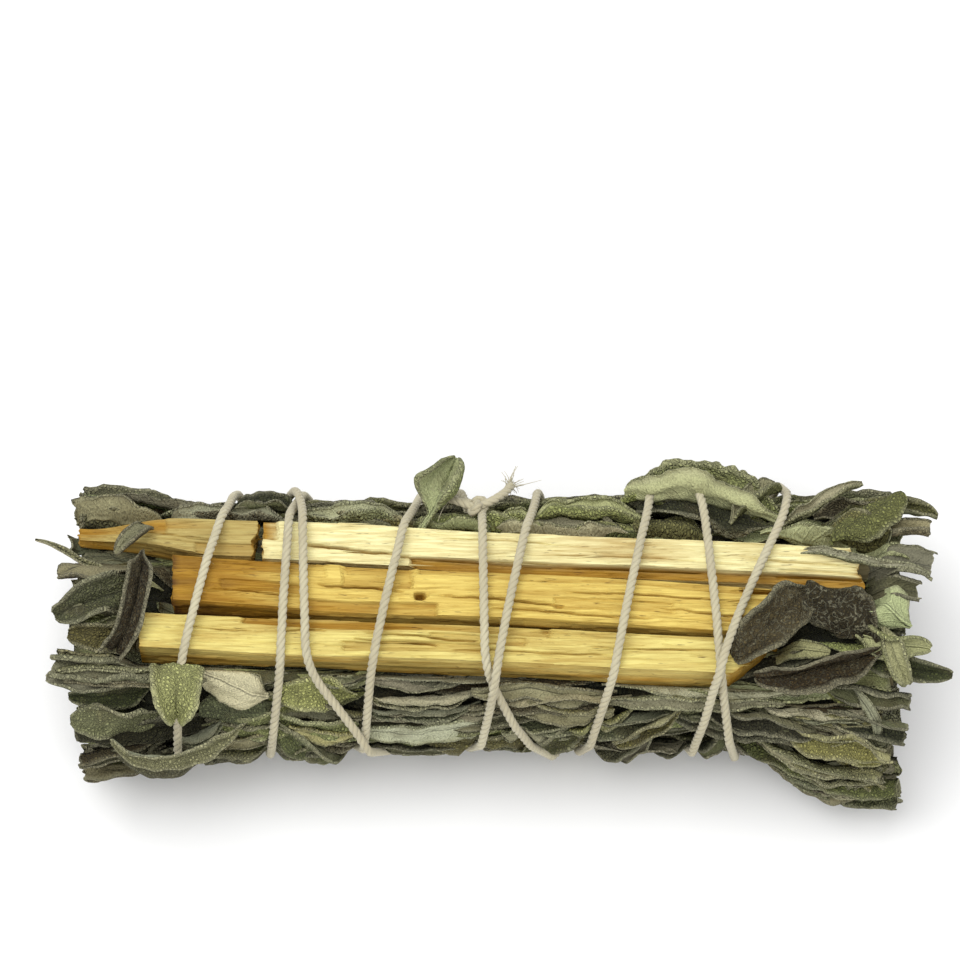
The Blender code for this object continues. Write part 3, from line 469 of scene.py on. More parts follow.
def seen_leaves():
    """The leaves that show from in front and above, from the left end to the right one."""
    left_end = [
        Leaf((-60.0, 9.0), (-73.5, 14.4), 1.6, "pale", lift=(-1, 0.6, 1.0), curl=(120, 120), over=True),
        Leaf((-54.0, 12.0), (-69.4, 8.8), 10.0, "brown", True, (-1, 2.4, 1.6), (20, 10), (40, 40), wave=50,
             phase=1),
        Leaf((-54.5, 16.6), (-60.0, 12.6), 4.6, "brown", True, (3.0, 5.0, 4.6), (20, 30), (60, 90),
             over=True),
        Leaf((-56.0, 7.0), (-69.8, 2.6), 9.5, "grey", False, (-1.0, 1.4, 1.2), (44, 34), (60, 80), wave=30,
             crumple=1.6),
        Leaf((-56.0, 13.0), (-60.0, -2.4), 8.0, "umber", False, (2.2, 3.0, 0.6), (46, 44), (80, 80), bow=-1.5,
             cut=True, crumple=1.4, over=True),
        Leaf((-56.0, -0.4), (-67.6, -0.6), 6.0, "olive", False, (-1, 0.8, 0.4), (30, 20), (60, 60), phase=3),
        Leaf((-38.0, -5.0), (-69.5, -5.0), 10.0, "grey", True, (-1.5, 0.8, 1.4), (34, 44), (110, 100),
             cut=True),
        Leaf((-40.0, -4.4), (-68.6, -3.0), 3.6, "olive", True, (-0.8, 1.6, 2.4), (50, 60), (120, 120),
             cut=True),
        Leaf((-40.0, -5.6), (-69.6, -5.4), 3.2, "white", True, (-0.8, 1.8, 2.8), (60, 60), (140, 120),
             cut=True, phase=2),
        Leaf((-41.0, -7.2), (-68.4, -7.2), 3.8, "rose", True, (-0.8, 1.4, 2.2), (50, 60), (110, 120),
             cut=True, phase=4),
        Leaf((-60.0, -6.4), (-71.0, -7.4), 6.5, "grey", True, (-1, 1.0, 2.0), (20, 40), (40, 60), (0, 40),
             wave=30),
        Leaf((-54.0, -8.6), (-67.6, -10.2), 6.4, "deep", False, (-2, -0.4, 0.2), (30, 30), (40, 60), phase=1),
        Leaf((-52.0, -13.0), (-67.4, -14.2), 8.0, "blue", False, (-2, 0.6, 1.2), (10, 5), (10, 30), wave=44,
             phase=2),
        Leaf((-53.0, -17.0), (-66.4, -19.4), 6.0, "brown", True, (-2, 0.0, 0.6), (40, 50), (60, 90),
             cut=True),
        Leaf((-53.0, -19.4), (-66.2, -22.6), 5.6, "brown", False, (-2, 0.0, 0.6), (40, 50), (60, 60),
             cut=True),
        Leaf((-40.5, -17.0), (-61.5, -20.2), 6.4, "grey", False, (0.4, 5.2, 1.4), (-10, -20), (-30, -40),
             over=True, phase=2),
        Leaf((-39.0, -14.4), (-61.0, -18.0), 5.6, "blue", False, (0.4, 6.0, 1.6), (24, 20), (60, 60),
             over=True, phase=5),
        Leaf((-49.8, -5.0), (-50.0, -13.4), 9.8, "light", False, (4.6, 7.0, 6.0), (0, 62), (-10, 50),
             stalk=-0.34, over=True, crumple=1.2, phase=2),
        Leaf((-35.6, -10.4), (-46.0, -5.8), 8.6, "white", True, (0.2, 1.8, 1.8), (-8, 0), (10, 20), wave=14),
        Leaf((-34.0, -12.0), (-46.8, -12.6), 9.4, "grey", False, (-1.0, 1.0, 0.6), (-14, -20), (-30, -50),
             phase=5),
        Leaf((-43.0, -14.0), (-50.0, -16.4), 5.0, "grey", False, (-1, 0.4, 0.6), (50, 50), (130, 130),
             phase=1),
        Leaf((-33.0, -15.6), (-48.0, -18.8), 5.4, "olive", True, (-1.5, 0.2, 0.4), (20, 20), (60, 80)),
    ]
    middle = [
        Leaf((-36.5, -12.8), (-22.0, -21.6), 8.5, "green", False, (-1, 0.8, 0.8), (42, 40), (20, 30),
             phase=2),
        Leaf((-32.5, -15.2), (-22.0, -16.8), 5.0, "yellow", True, (0.2, 1.2, 1.2), (20, 20), (20, 40)),
        Leaf((-23.5, -19.4), (-38.0, -18.6), 6.5, "green", False, (-1, 0.4, 0.4), (30, 30), (30, 50),
             phase=3),
        Leaf((-21.5, -10.4), (-34.5, -9.0), 7.4, "light", False, (-1, 0.2, 0.6), (10, 20), (30, 50), phase=4),
        Leaf((-20.0, -7.4), (-28.5, -7.2), 5.0, "grey", True, (-1, 0.2, 0.4), (30, 30), (60, 60)),
        Leaf((-1.0, -6.8), (-19.0, -7.6), 5.6, "grey", True, (-1.5, -0.1, 0.2), (30, 24), (50, 70)),
        Leaf((-0.5, -9.4), (-20.0, -10.8), 6.6, "pale", False, (-1.5, 0.0, 0.4), (55, 50), (140, 130)),
        Leaf((-1.5, -11.6), (-20.5, -12.8), 5.2, "grey", False, (-1.5, 0.0, 0.2), (50, 50), (120, 140),
             phase=2),
        Leaf((4.0, -13.4), (-21.0, -16.6), 6.6, "white", True, (-1.5, 0.4, 0.4), (12, 10), (20, 40), wave=8),
        Leaf((-1.0, -17.4), (-22.0, -18.6), 5.6, "dark", True, (-1.5, 0.2, 0.2), (30, 30), (60, 80)),
        Leaf((20.5, -9.8), (-3.0, -8.6), 6.0, "rose", True, (-1.5, 0.0, 0.2), (24, 24), (40, 70), phase=1),
        Leaf((1.0, -11.4), (20.0, -12.8), 6.4, "olive", True, (-1.5, 0.2, 0.3), (40, 30), (60, 90), phase=3),
        Leaf((18.5, -14.8), (2.0, -16.4), 6.0, "pale", True, (-1.5, 0.2, 0.6), (20, 30), (60, 60), phase=4),
        Leaf((18.0, -8.0), (49.4, -8.8), 5.0, "white", True, (-1, 0.6, 1.8), (35, 20), (60, 30), (-30, 40),
             cut=True),
        Leaf((15.0, -10.4), (47.5, -11.0), 5.4, "pale", True, (-1.5, 0.2, 0.6), (45, 40), (70, 110), phase=2),
        Leaf((16.5, -14.0), (5.0, -19.4), 6.4, "deep", False, (-1, 0.6, 0.6), (35, 20), (10, 20)),
        Leaf((23.0, -12.6), (13.0, -16.0), 4.6, "yellow", True, (-1, 0.8, 1.0), (50, 40), (90, 60), phase=1),
        Leaf((27.5, -15.6), (17.5, -20.6), 5.6, "grey", True, (-1, 0.8, 0.6), (40, 40), (90, 90), wave=34),
        Leaf((31.0, -12.4), (20.0, -17.8), 5.2, "olive", False, (-1, 0.6, 0.6), (50, 40), (100, 80), wave=30,
             phase=4),
        Leaf((35.0, -17.6), (20.0, -20.4), 6.0, "dark", True, (-1.5, -0.4, -0.4), (10, 10), (20, 20)),
        Leaf((41.0, -15.2), (26.5, -19.8), 6.6, "dark", True, (-1, 0.4, 0.6), (35, 40), (70, 90), phase=2),
        Leaf((33.0, -11.6), (52.5, -16.0), 7.6, "dark", False, (-1, 0.4, 0.8), (45, 40), (100, 80), phase=1),
        Leaf((30.5, -13.4), (46.0, -15.4), 5.6, "grey", True, (-1, 0.0, 0.4), (40, 50), (110, 110), phase=3),
        Leaf((39.0, -17.6), (43.6, -23.0), 5.0, "grey", True, (-1, 0.6, 1.0), (20, 30), (20, 50)),
    ]
    right_end = [
        Leaf((58.0, -21.6), (64.6, -26.4), 3.0, "yellow", False, (0.0, 0.8, 0.8), (40, 40), (60, 60),
             cut=True, wave=44),
        Leaf((42.0, -17.2), (63.0, -22.6), 5.4, "white", True, (-0.5, 1.8, 1.8), (40, 40), (90, 90),
             cut=True),
        Leaf((42.0, -19.8), (63.6, -26.0), 6.8, "brown", False, (-1.5, -0.8, -0.8), (50, 50), (110, 120),
             phase=2),
        Leaf((46.0, -20.4), (63.2, -24.6), 4.4, "pale", True, (-1, -0.2, 0.0), (35, 30), (70, 60), phase=1),
        Leaf((46.0, -13.0), (64.4, -19.8), 7.6, "yellow", False, (-1, 0.8, 1.6), (40, 30), (70, 50), cut=True,
             wave=34),
        Leaf((55.0, -18.0), (63.8, -25.6), 4.6, "yellow", False, (0, 0.4, 0.2), (40, 30), (60, 60), cut=True,
             phase=4),
        Leaf((52.0, -22.0), (57.4, -26.8), 3.8, "grey", True, (-1, 0.0, 0.2), (30, 30), (40, 60)),
        Leaf((53.0, -8.4), (67.6, -10.4), 7.0, "dark", True, (-2, -0.4, 0.6), (40, 50), (40, 60), cut=True),
        Leaf((53.0, -12.0), (66.8, -15.0), 7.0, "dark", False, (-2, 0.0, 0.6), (50, 40), (60, 60), cut=True,
             phase=2),
        Leaf((57.6, -8.0), (62.4, -17.0), 2.2, "pale", True, (1.0, 1.8, 1.2), (10, 10), (20, 20), bow=-1.6),
        Leaf((53.0, 7.0), (38.6, -3.4), 9.2, "brown", False, (1.6, 4.3, 4.0), (14, 12), (50, 40), wave=40,
             phase=1, crumple=1.7, over=True),
        Leaf((62.0, -1.6), (50.8, 7.8), 12.0, "umber", False, (2.0, 4.0, 3.4), (-24, -26), (-20, -40),
             wave=40, phase=2, crumple=2.2, over=True),
        Leaf((63.4, -2.4), (42.4, -7.2), 11.0, "umber", False, (1.0, 3.8, 3.0), (40, 46), (90, 90),
             crumple=1.5, over=True),
        Leaf((63.0, 0.6), (66.6, -8.0), 6.8, "pale_green", True, (2.0, 4.0, 2.6), (30, 40), (80, 80), wave=44,
             over=True, phase=1),
        Leaf((67.4, 1.0), (59.6, 6.6), 9.0, "pale_green", True, (1.2, 3.4, 3.0), (-20, -20), (-30, -40),
             phase=3),
        Leaf((58.0, -3.4), (74.0, -6.6), 5.6, "deep", False, (-1, 1.0, 1.2), (40, 30), (40, 40)),
        Leaf((57.0, 0.4), (70.4, -3.0), 7.6, "pale_green", True, (0.4, 2.2, 1.8), (30, 40), (90, 80), wave=44,
             phase=4),
        Leaf((55.0, 14.2), (66.6, 22.0), 10.4, "green", False, (1.5, 5.4, 7.0), (-20, -30), (-30, -40),
             wave=40, over=True),
        Leaf((54.0, 15.4), (64.6, 15.6), 7.6, "olive", False, (1.0, 3.6, 4.2), (30, 40), (60, 90), wave=40,
             phase=3),
        Leaf((46.0, 16.4), (60.6, 23.6), 5.0, "pale", True, (1.0, 3.6, 6.4), (40, 30), (100, 60), over=True),
        Leaf((44.0, 15.6), (68.0, 11.0), 6.6, "pale_green", True, (0.6, 2.2, 1.0), (40, 35), (90, 70)),
        Leaf((46.0, 12.6), (70.6, 9.0), 3.6, "white", True, (0.8, 2.6, 2.0), (50, 50), (60, 60), over=True),
        Leaf((54.0, 10.4), (70.8, 9.8), 7.2, "grey", True, (-1, 1.2, 0.8), (25, 20), (30, 30), cut=True),
        Leaf((54.0, 14.4), (71.0, 15.2), 6.2, "rose", True, (-1, 0.8, 0.6), (50, 45), (50, 50), cut=True,
             phase=3),
        Leaf((54.0, 17.0), (72.6, 18.4), 7.0, "olive", False, (-1, 2.0, 2.6), (30, 40), (60, 80), wave=34,
             phase=1),
        Leaf((56.0, 6.6), (68.6, 6.4), 6.8, "dark", True, (-1, 0.8, 0.6), (35, 40), (60, 60), cut=True,
             phase=2),
    ]
    back_edge = [
        Leaf((46.0, 16.6), (24.0, 19.6), 9.0, "dark", False, (0.4, 1.8, 1.8), (10, 10), (20, 20)),
        Leaf((48.6, 17.0), (22.0, 22.0), 14.5, "pale_green", False, (0.6, 3.4, 4.0), (42, 56), (110, 130),
             over=True),
        Leaf((29.0, 19.0), (21.4, 20.6), 5.6, "light", True, (0.6, 3.0, 2.4), (30, 40), (90, 110), over=True,
             phase=2),
        Leaf((39.0, 17.2), (47.4, 22.8), 8.0, "green", True, (2.4, 4.2, 5.0), (55, 50), (30, 20), over=True,
             phase=1),
        Leaf((27.5, 17.4), (2.0, 18.2), 9.0, "pale_green", True, (0.2, 1.2, 1.6), (40, 42), (80, 90),
             phase=1),
        Leaf((27.0, 14.6), (-1.0, 15.6), 5.0, "white", True, (-0.5, 0.6, 0.6), (35, 30), (60, 70)),
        Leaf((35.6, 14.8), (23.4, 17.8), 7.6, "olive", False, (-0.4, 1.4, 1.6), (-14, -18), (-20, -40),
             wave=30, phase=3),
        Leaf((30.0, 13.6), (18.0, 15.8), 5.6, "green", False, (-0.4, 1.0, 1.0), (-10, -14), (-20, -30),
             wave=30),
        Leaf((-11.4, 15.6), (-5.4, 27.8), 15.0, "pale_green", True, (0.6, 4.4, 9.0), (24, 50), (40, 90),
             (0, 24), stalk=0.3, over=True, phase=2),
        Leaf((-12.0, 16.8), (-31.0, 18.0), 7.4, "white", True, (-0.5, 0.8, 0.8), (40, 40), (80, 100),
             phase=4),
        Leaf((-14.0, 15.2), (-34.0, 15.8), 5.4, "blue", True, (-0.5, 0.6, 0.6), (40, 40), (90, 90), phase=2),
        Leaf((-32.0, 17.0), (-52.0, 18.4), 7.0, "rose", True, (-0.5, 0.8, 0.8), (45, 40), (80, 90), phase=2),
        Leaf((-28.0, 19.0), (-44.0, 20.4), 6.6, "dark", False, (-0.5, 1.0, 1.2), (35, 30), (70, 90), phase=5),
        Leaf((-50.0, 16.6), (-67.4, 18.4), 7.0, "olive", True, (-1, 0.8, 0.8), (50, 50), (60, 70), cut=True,
             phase=3),
        Leaf((-56.0, 14.4), (-68.0, 15.0), 6.0, "dark", True, (-1, 0.8, 0.8), (40, 40), (60, 70), cut=True,
             phase=1),
    ]
    bleached = [
        Leaf((45.0, -18.4), (63.8, -23.0), 2.8, "white", True, (0.0, 2.6, 2.4), (50, 50), (90, 90), cut=True,
             wave=34),
        Leaf((47.5, -20.2), (64.2, -24.6), 2.2, "white", True, (0.0, 1.8, 1.8), (40, 60), (90, 60), cut=True,
             phase=2),
        Leaf((50.0, -17.0), (64.4, -21.2), 2.0, "yellow", False, (0.4, 2.4, 2.4), (50, 40), (60, 60),
             cut=True, wave=40, phase=1),
        Leaf((42.0, -20.0), (57.0, -24.2), 2.0, "pale", True, (0.0, 1.4, 1.2), (60, 40), (80, 80), bow=0.8,
             phase=3),
        Leaf((55.0, -14.6), (64.0, -19.4), 1.8, "white", True, (0.4, 2.0, 1.6), (30, 30), (60, 60), bow=-1.2),
    ]
    return left_end + middle + right_end + back_edge + straggling_leaves() + bleached


FILL_KINDS = ("grey", "grey", "pale", "pale_green", "light", "olive", "rose", "brown", "dark", "green")


def fill_leaves(turns, draws, count):
    """Leaves laid along a sprig, under the listed ones."""
    low, high = turns
    leaves = []
    for place in range(count):
        outward = draws.choice((-1, 1))
        length = draws.uniform(20, 38)
        root_x = -outward * mix(-42, 64, (place + draws.random()) / count)
        tip_x = max(-67.0, min(67.0, root_x + outward * length))
        root_turn, tip_turn = draws.uniform(low, high), draws.uniform(low + 2, high - 2)
        depth = draws.uniform(-2.2, -0.3)
        fold = draws.uniform(10, 60)
        curl = draws.choice((draws.uniform(20, 80), draws.uniform(80, 150), draws.uniform(-50, -10)))
        leaves.append(
            Leaf(
                (root_x, 0),
                (tip_x, 0),
                draws.uniform(4.5, 8.5),
                draws.choice(FILL_KINDS),
                draws.random() < 0.6,
                (depth - 1.5, depth, depth + draws.uniform(0, 0.9)),
                (fold, fold * draws.uniform(0.6, 1.2)),
                (curl * 0.7, curl),
                (draws.uniform(-15, 15), draws.uniform(-25, 25)),
                draws.uniform(-1.5, 1.5),
                cut=abs(tip_x) > 66,
                wave=draws.uniform(8, 30),
                phase=draws.uniform(0, 6),
                turns=(root_turn, mix(root_turn, tip_turn, 0.5)),
            )
        )
    return leaves


def end_leaves(turns, draws, count, depths):
    """Cut leaves that stand out of both chopped ends, turned every way."""
    low, high = turns
    leaves = []
    for end in (-1, 1):
        for place in range(count):
            turn = mix(low, high, (place + draws.random()) / count)
            depth = draws.uniform(*depths)
            twist = draws.uniform(-120, 120)
            fold = draws.uniform(15, 70)
            leaves.append(
                Leaf(
                    (end * 53, 0),
                    (end * (TRIM / MM + draws.uniform(-3.0, 0.8)), 0),
                    draws.uniform(4.0, 8.0),
                    draws.choice(FILL_KINDS),
                    draws.random() < 0.5,
                    (-depth, -depth + 0.4, -depth + draws.uniform(0, 1.2)),
                    (fold, fold),
                    (draws.uniform(20, 140), draws.uniform(20, 140)),
                    (twist, twist + draws.uniform(-30, 30)),
                    cut=True,
                    wave=draws.uniform(10, 40),
                    phase=draws.uniform(0, 6),
                    turns=(turn, turn + draws.uniform(-5, 5)),
                )
            )
    return leaves


def leaf_outline(leaf, along, length, seed):
    """Half of the leaf's width along it, in metres, with the small teeth of its margin."""
    begun = smooth(leaf.stalk, leaf.stalk + 0.34, along)
    ended = 1.0 if leaf.cut else np.sqrt(1 - np.clip((along - 0.42) / 0.585, 0, 1) ** 2.2)
    teeth = np.array([noise.noise((share * length / TEETH_GAP, seed, 0)) for share in along])
    return leaf.width * MM / 2 * (0.12 + 0.88 * begun * ended) * (1 + 0.09 * teeth)


def leaf_ends(leaf):
    """The turns, then the lifts, of a leaf's root and tip."""
    lifts = [leaf.lift[0] * MM, leaf.lift[2] * MM]
    if leaf.turns:
        return leaf.turns, lifts
    ends = [seen_place(x * MM, seen * MM, lift) for (x, seen), lift in zip((leaf.root, leaf.tip), lifts)]
    return tuple(zip(*ends))


def leaf_spine(leaf, along, seed):
    """The middle line of a leaf, with its outward and sideways directions."""
    turns, (start, end) = leaf_ends(leaf)
    x = mix(leaf.root[0], leaf.tip[0], along) * MM
    turn = mix(turns[0], turns[1], along)
    radius = surface_radius(x, turn)
    run = np.array(((leaf.tip[0] - leaf.root[0]) * MM, math.radians(turns[1] - turns[0]) * radius.mean()))
    run_length = math.hypot(*run)
    run = run / run_length
    bow = leaf.bow * MM * np.sin(np.pi * along)
    x, turn = x - bow * run[1], turn + np.degrees(bow * run[0] / radius)
    bend = 2 * (start - 2 * leaf.lift[1] * MM + end)
    lift = start + (end - start - bend) * along + bend * along * along
    wander = np.array([noise.noise((share * run_length / WANDER, seed, 7)) for share in along])
    sway = np.array([noise.noise((share * run_length / WANDER, seed, 3)) for share in along])
    lift = lift + wander * 0.8 * SWAY
    turn = turn + np.degrees(sway * SWAY / radius)
    spine = polar(x, turn, surface_radius(x, turn) + lift)
    outward = polar(0, turn, 1.0) - polar(0, turn, 0.0)
    tangent = unit(np.gradient(spine, axis=0))
    outward = unit(outward - tangent * (outward * tangent).sum(1, keepdims=True))
    aside = np.cross(outward, tangent)
    twist = np.radians(mix(leaf.twist[0], leaf.twist[1], along))[:, None]
    cosine, sine = np.cos(twist), np.sin(twist)
    return spine, outward * cosine - aside * sine, aside * cosine + outward * sine


def across_shares(columns):
    """Places across a leaf, from -1 at one margin to 1 at the other, closest in the rolled margins."""
    return np.sin(np.linspace(-0.5, 0.5, columns + 1) * np.pi)


def leaf_sheet(leaf, rows, columns, seed):
    """The middle surface of a leaf, row by row, with the distance across it of each point, in metres."""
    along = np.linspace(0, 1, rows + 1)
    spine, outward, aside = leaf_spine(leaf, along, seed)
    length = np.linalg.norm(np.diff(spine, axis=0), axis=1).sum()
    half = leaf_outline(leaf, along, length, seed)
    shares = across_shares(columns)
    middles = (shares[1:] + shares[:-1]) / 2
    reach = np.abs(middles)[None, :]
    fold = mix(leaf.fold[0], leaf.fold[1], along)[:, None]
    curl = mix(leaf.curl[0], leaf.curl[1], along)[:, None]
    ripple = np.sin(along[:, None] * length / LONG_RIPPLE + 1.7 * np.sign(middles) + leaf.phase)
    ripple = ripple + 0.6 * np.sin(along[:, None] * length / SHORT_RIPPLE + 2.9 * middles + 2 * leaf.phase)
    pleat = np.sin(PLEATS * np.pi * reach + leaf.phase + 1.6 * middles)
    fading = np.array([noise.noise((share * length / (6 * MM), seed, 5)) for share in along])
    rim = (RIM_ROLL if leaf.felt_up else -RIM_ROLL) * smooth(0.78, 1.0, reach)
    pleat = pleat * PLEAT_LEAN * (0.5 + 1.4 * np.abs(fading))[:, None] * (1 - 0.7 * smooth(0.7, 0.9, reach))
    lean = np.radians(fold + curl * reach**2.6 + leaf.wave * reach * ripple + pleat + rim)
    step = half[:, None] * np.diff(shares)[None, :]
    run, rise = step * np.cos(lean), step * np.sin(lean)
    centre = columns // 2
    side = np.zeros((rows + 1, columns + 1))
    up = np.zeros((rows + 1, columns + 1))
    side[:, centre + 1 :] = np.cumsum(run[:, centre:], axis=1)
    up[:, centre + 1 :] = np.cumsum(rise[:, centre:], axis=1)
    side[:, :centre] = -np.cumsum(run[:, :centre][:, ::-1], axis=1)[:, ::-1]
    up[:, :centre] = np.cumsum(rise[:, :centre][:, ::-1], axis=1)[:, ::-1]
    points = spine[:, None] + side[..., None] * aside[:, None] + up[..., None] * outward[:, None]
    across = half[:, None] * shares[None, :]
    flat = np.stack(np.broadcast_arrays(across, (along * length)[:, None] * 0.5, 0 * across), -1)
    crinkle = 0.5 * roughness_at(points, LONG_CRINKLE, seed)
    crinkle = crinkle + 0.42 * roughness_at(flat, SHORT_CRINKLE, seed + 9)
    points = points + outward[:, None] * crinkle[..., None] * leaf.crumple * MM
    if leaf.cut:
        torn = roughness_at(points[-1:] * np.array((0, 1, 1)), TORN_EDGE, seed)[0]
        points[-1] += unit(spine[-1] - spine[-2]) * (torn * TORN_EDGE)[:, None]
    return points, across, along * length


@functools.cache
def stick_lines():
    """The middle line, in the bunch's own place, and half width of each stick: what presses on the leaves."""
    return [
        (np.array(stick.left) * MM, np.array(stick.right) * MM, stick.width * MM / 2) for stick in sticks()
    ]


def stick_ceiling(x, y):
    """The greatest height of a leaf: pressed flat under the sticks, free beside them."""
    ceiling = np.full(np.shape(x), NO_CEILING)
    for start, end, half in stick_lines():
        run = end - start
        length = np.linalg.norm(run)
        share = ((x - start[0]) * run[0] + (y - start[1]) * run[1]) / length**2
        beyond = np.maximum(np.maximum(-share, share - 1), 0) * length
        aside = np.maximum(np.abs(y - start[1] - run[1] * (x - start[0]) / run[0]) - half, 0)
        free = np.maximum(np.hypot(beyond, aside) - 0.3 * MM, 0)
        ceiling = np.minimum(ceiling, STICK_BED - 0.3 * MM + 2.2 * free)
    return ceiling


def at_height(points, height):
    """The same points at these heights."""
    return np.concatenate((points[..., :2], height[..., None]), axis=-1)


def bound_in(points, over=False):
    """Points of a leaf held up by the table and, unless it lies over them, pressed by sticks and twine."""
    if not over:
        at = points + MIDDLE
        under_sticks = pressed(at[..., 2], stick_ceiling(at[..., 0], at[..., 1]), 0.3 * MM)
        upper_half = np.cos(np.radians(unrolled(points)[1])) > 0.05
        points = under_twine(at_height(points, np.where(upper_half, under_sticks, at[..., 2])))
    return at_height(points, lifted(points[..., 2], 0.3 * MM, 0.15 * MM))


def under_twine(points):
    """Points drawn in where the twine crosses them."""
    twine, centres = twine_search()
    x, turn, radius = unrolled(points)
    limit = np.full(radius.shape, 1.0)
    reach = 5 * MM
    for place in np.ndindex(radius.shape):
        _, index, distance = twine.find(points[place])
        if distance < reach:
            out = radius[place] - centres[index]
            aside = math.sqrt(max(distance * distance - out * out, 0.0))
            limit[place] = centres[index] - 1.15 * MM + 1.2 * max(0.0, aside - 0.5 * MM)
    radius = pressed(radius, limit, 0.22 * MM)
    return polar(x, turn, radius)


class LeafPile:
    """Gathers leaves, each a thin closed solid, into one mesh with its colours."""

    def __init__(self, colours, thickness):
        self.colours, self.thickness = colours, thickness
        self.points, self.faces, self.maps, self.tints = [], [], [], []
        self.shares = {"felt": [], "margin": [], "wrinkled": []}
        self.count = 0

    def add_leaf(self, leaf, seed, rows, columns):
        draws = random.Random(seed)
        sheet, across, along = leaf_sheet(leaf, rows, columns, seed)
        sheet = bound_in(sheet, leaf.over)
        normal = unit(np.cross(np.gradient(sheet, axis=0), np.gradient(sheet, axis=1)))
        share = np.abs(across_shares(columns))
        wall = self.thickness / 2 * (1 - 0.55 * share**3)[None, :, None]
        rib = np.where(share < 0.05, 0.2 * MM, 0)[None, :, None]
        rib = rib * mix(1, 0.3, along / along[-1])[:, None, None]
        outer = sheet + normal * (wall + (rib if leaf.felt_up else 0))
        inner = sheet - normal * (wall + (0 if leaf.felt_up else rib))
        shade = draws.uniform(0.82, 1.18)
        warmth = np.array((draws.uniform(0.94, 1.08), 1.0, draws.uniform(0.88, 1.1)))
        top, felt = (np.array(colour) * shade * warmth for colour in self.colours[leaf.kind])
        shift = draws.uniform(0, 400)
        places = np.stack(np.broadcast_arrays(across / MM, along[:, None] / MM + shift), axis=-1)
        margin = np.broadcast_to(share, across.shape).copy()
        if leaf.cut:
            margin[-1] = 1.0
        tints = (felt, top) if leaf.felt_up else (top, felt)
        self.add_shells(outer, inner, places, margin, tints, leaf.felt_up, max(0.0, leaf.crumple - 1))

    def add_shells(self, outer, inner, places, margin, tints, felt_up, wrinkled=0.0):
        rows, columns = outer.shape[0] - 1, outer.shape[1] - 1
        index = self.count + np.arange(outer[..., 0].size).reshape(rows + 1, columns + 1)
        face = np.stack((index[:-1, :-1], index[1:, :-1], index[1:, 1:], index[:-1, 1:]), -1)
        quads = [face, (face + index.size)[:, :, ::-1]]
        edge = np.concatenate((index[0, :-1], index[:-1, -1], index[-1, :0:-1], index[:0:-1, 0]))
        low = edge + index.size
        quads.append(np.stack((edge, low, np.roll(low, -1), np.roll(edge, -1)), -1))
        self.faces += [quad.reshape(-1, 4) for quad in quads]
        for shell, tint, felt in ((outer, tints[0], felt_up), (inner, tints[1], not felt_up)):
            size = shell[..., 0].size
            self.points.append(shell.reshape(-1, 3))
            self.maps.append(places.reshape(-1, 2))
            self.tints.append(np.tile((*tint, 1.0), (size, 1)))
            self.shares["felt"].append(np.full(size, float(felt)))
            self.shares["margin"].append(margin.reshape(-1))
            self.shares["wrinkled"].append(np.full(size, wrinkled))
            self.count += size

    def mesh(self, name):
        mesh = new_mesh(name, np.concatenate(self.points), np.concatenate(self.faces))
        set_values(mesh, "tint", "FLOAT_COLOR", "color", np.concatenate(self.tints))
        for share, values in self.shares.items():
            set_values(mesh, share, "FLOAT", "value", np.concatenate(values))
        corners = np.empty(len(mesh.loops), np.int32)
        mesh.loops.foreach_get("vertex_index", corners)
        flat = mesh.uv_layers.new(name="leaf")
        flat.data.foreach_set("uv", np.concatenate(self.maps)[corners].astype(np.float32).ravel())
        return mesh


def new_mesh(name, points, faces):
    """A smooth mesh of faces that all have as many corners."""
    mesh = bpy.data.meshes.new(name)
    mesh.vertices.add(len(points))
    mesh.vertices.foreach_set("co", np.asarray(points, np.float32).ravel())
    mesh.loops.add(faces.size)
    mesh.loops.foreach_set("vertex_index", faces.astype(np.int32).ravel())
    mesh.polygons.add(len(faces))
    mesh.polygons.foreach_set("loop_start", np.arange(0, faces.size, faces.shape[1], dtype=np.int32))
    mesh.update(calc_edges=True)
    mesh.validate()
    mesh.polygons.foreach_set("use_smooth", np.ones(len(faces), bool))
    return mesh


def set_values(mesh, name, kind, field, values):
    """Keeps a value on each point of a mesh, under a name that its finish reads."""
    made = mesh.attributes.new(name, kind, "POINT")
    made.data.foreach_set(field, np.asarray(values, np.float32).ravel())


def packed_core(pile, turns, seed, inner_radius=HEART_RADIUS - 1 * MM, outer_radius=None):
    """The pressed inner leaves of a sprig: a ridged wedge behind the gaps between its outer leaves, painted
    dark as the shade in those gaps.
    """
    low, high = turns
    x = np.linspace(-CORE_REACH, CORE_REACH, 110)[:, None]
    turn = np.linspace(high + 2, low - 2, 26)[None, :]
    radius = surface_radius(x, turn) - CORE_DEPTH if outer_radius is None else outer_radius + 0 * x + 0 * turn
    at = np.stack(np.broadcast_arrays(x * 0.12, np.radians(turn) * radius, 0 * x), -1)
    folds = np.abs(roughness_at(at, 1.4 * MM, seed)) + 0.4 * np.abs(roughness_at(at, 0.7 * MM, seed + 3))
    radius = radius + (folds - 0.5) * 2.0 * MM
    radius = radius * mix(1.0, 0.8, smooth(CORE_REACH - 4 * MM, CORE_REACH, np.abs(x)))
    outer = bound_in(polar(x, turn, radius))
    inner = polar(x, turn, np.full(radius.shape, inner_radius))
    places = np.stack(np.broadcast_arrays(turn * 0.3, x / MM), -1)
    # Painted shade: the wedge takes the dark leaves' colours at 0.6, so that the gaps between the outer
    # leaves read as shadow.
    dark = [np.array(colour) * 0.6 for colour in pile.colours["dark"]]
    pile.add_shells(outer, inner, places, np.zeros(radius.shape), dark, False)


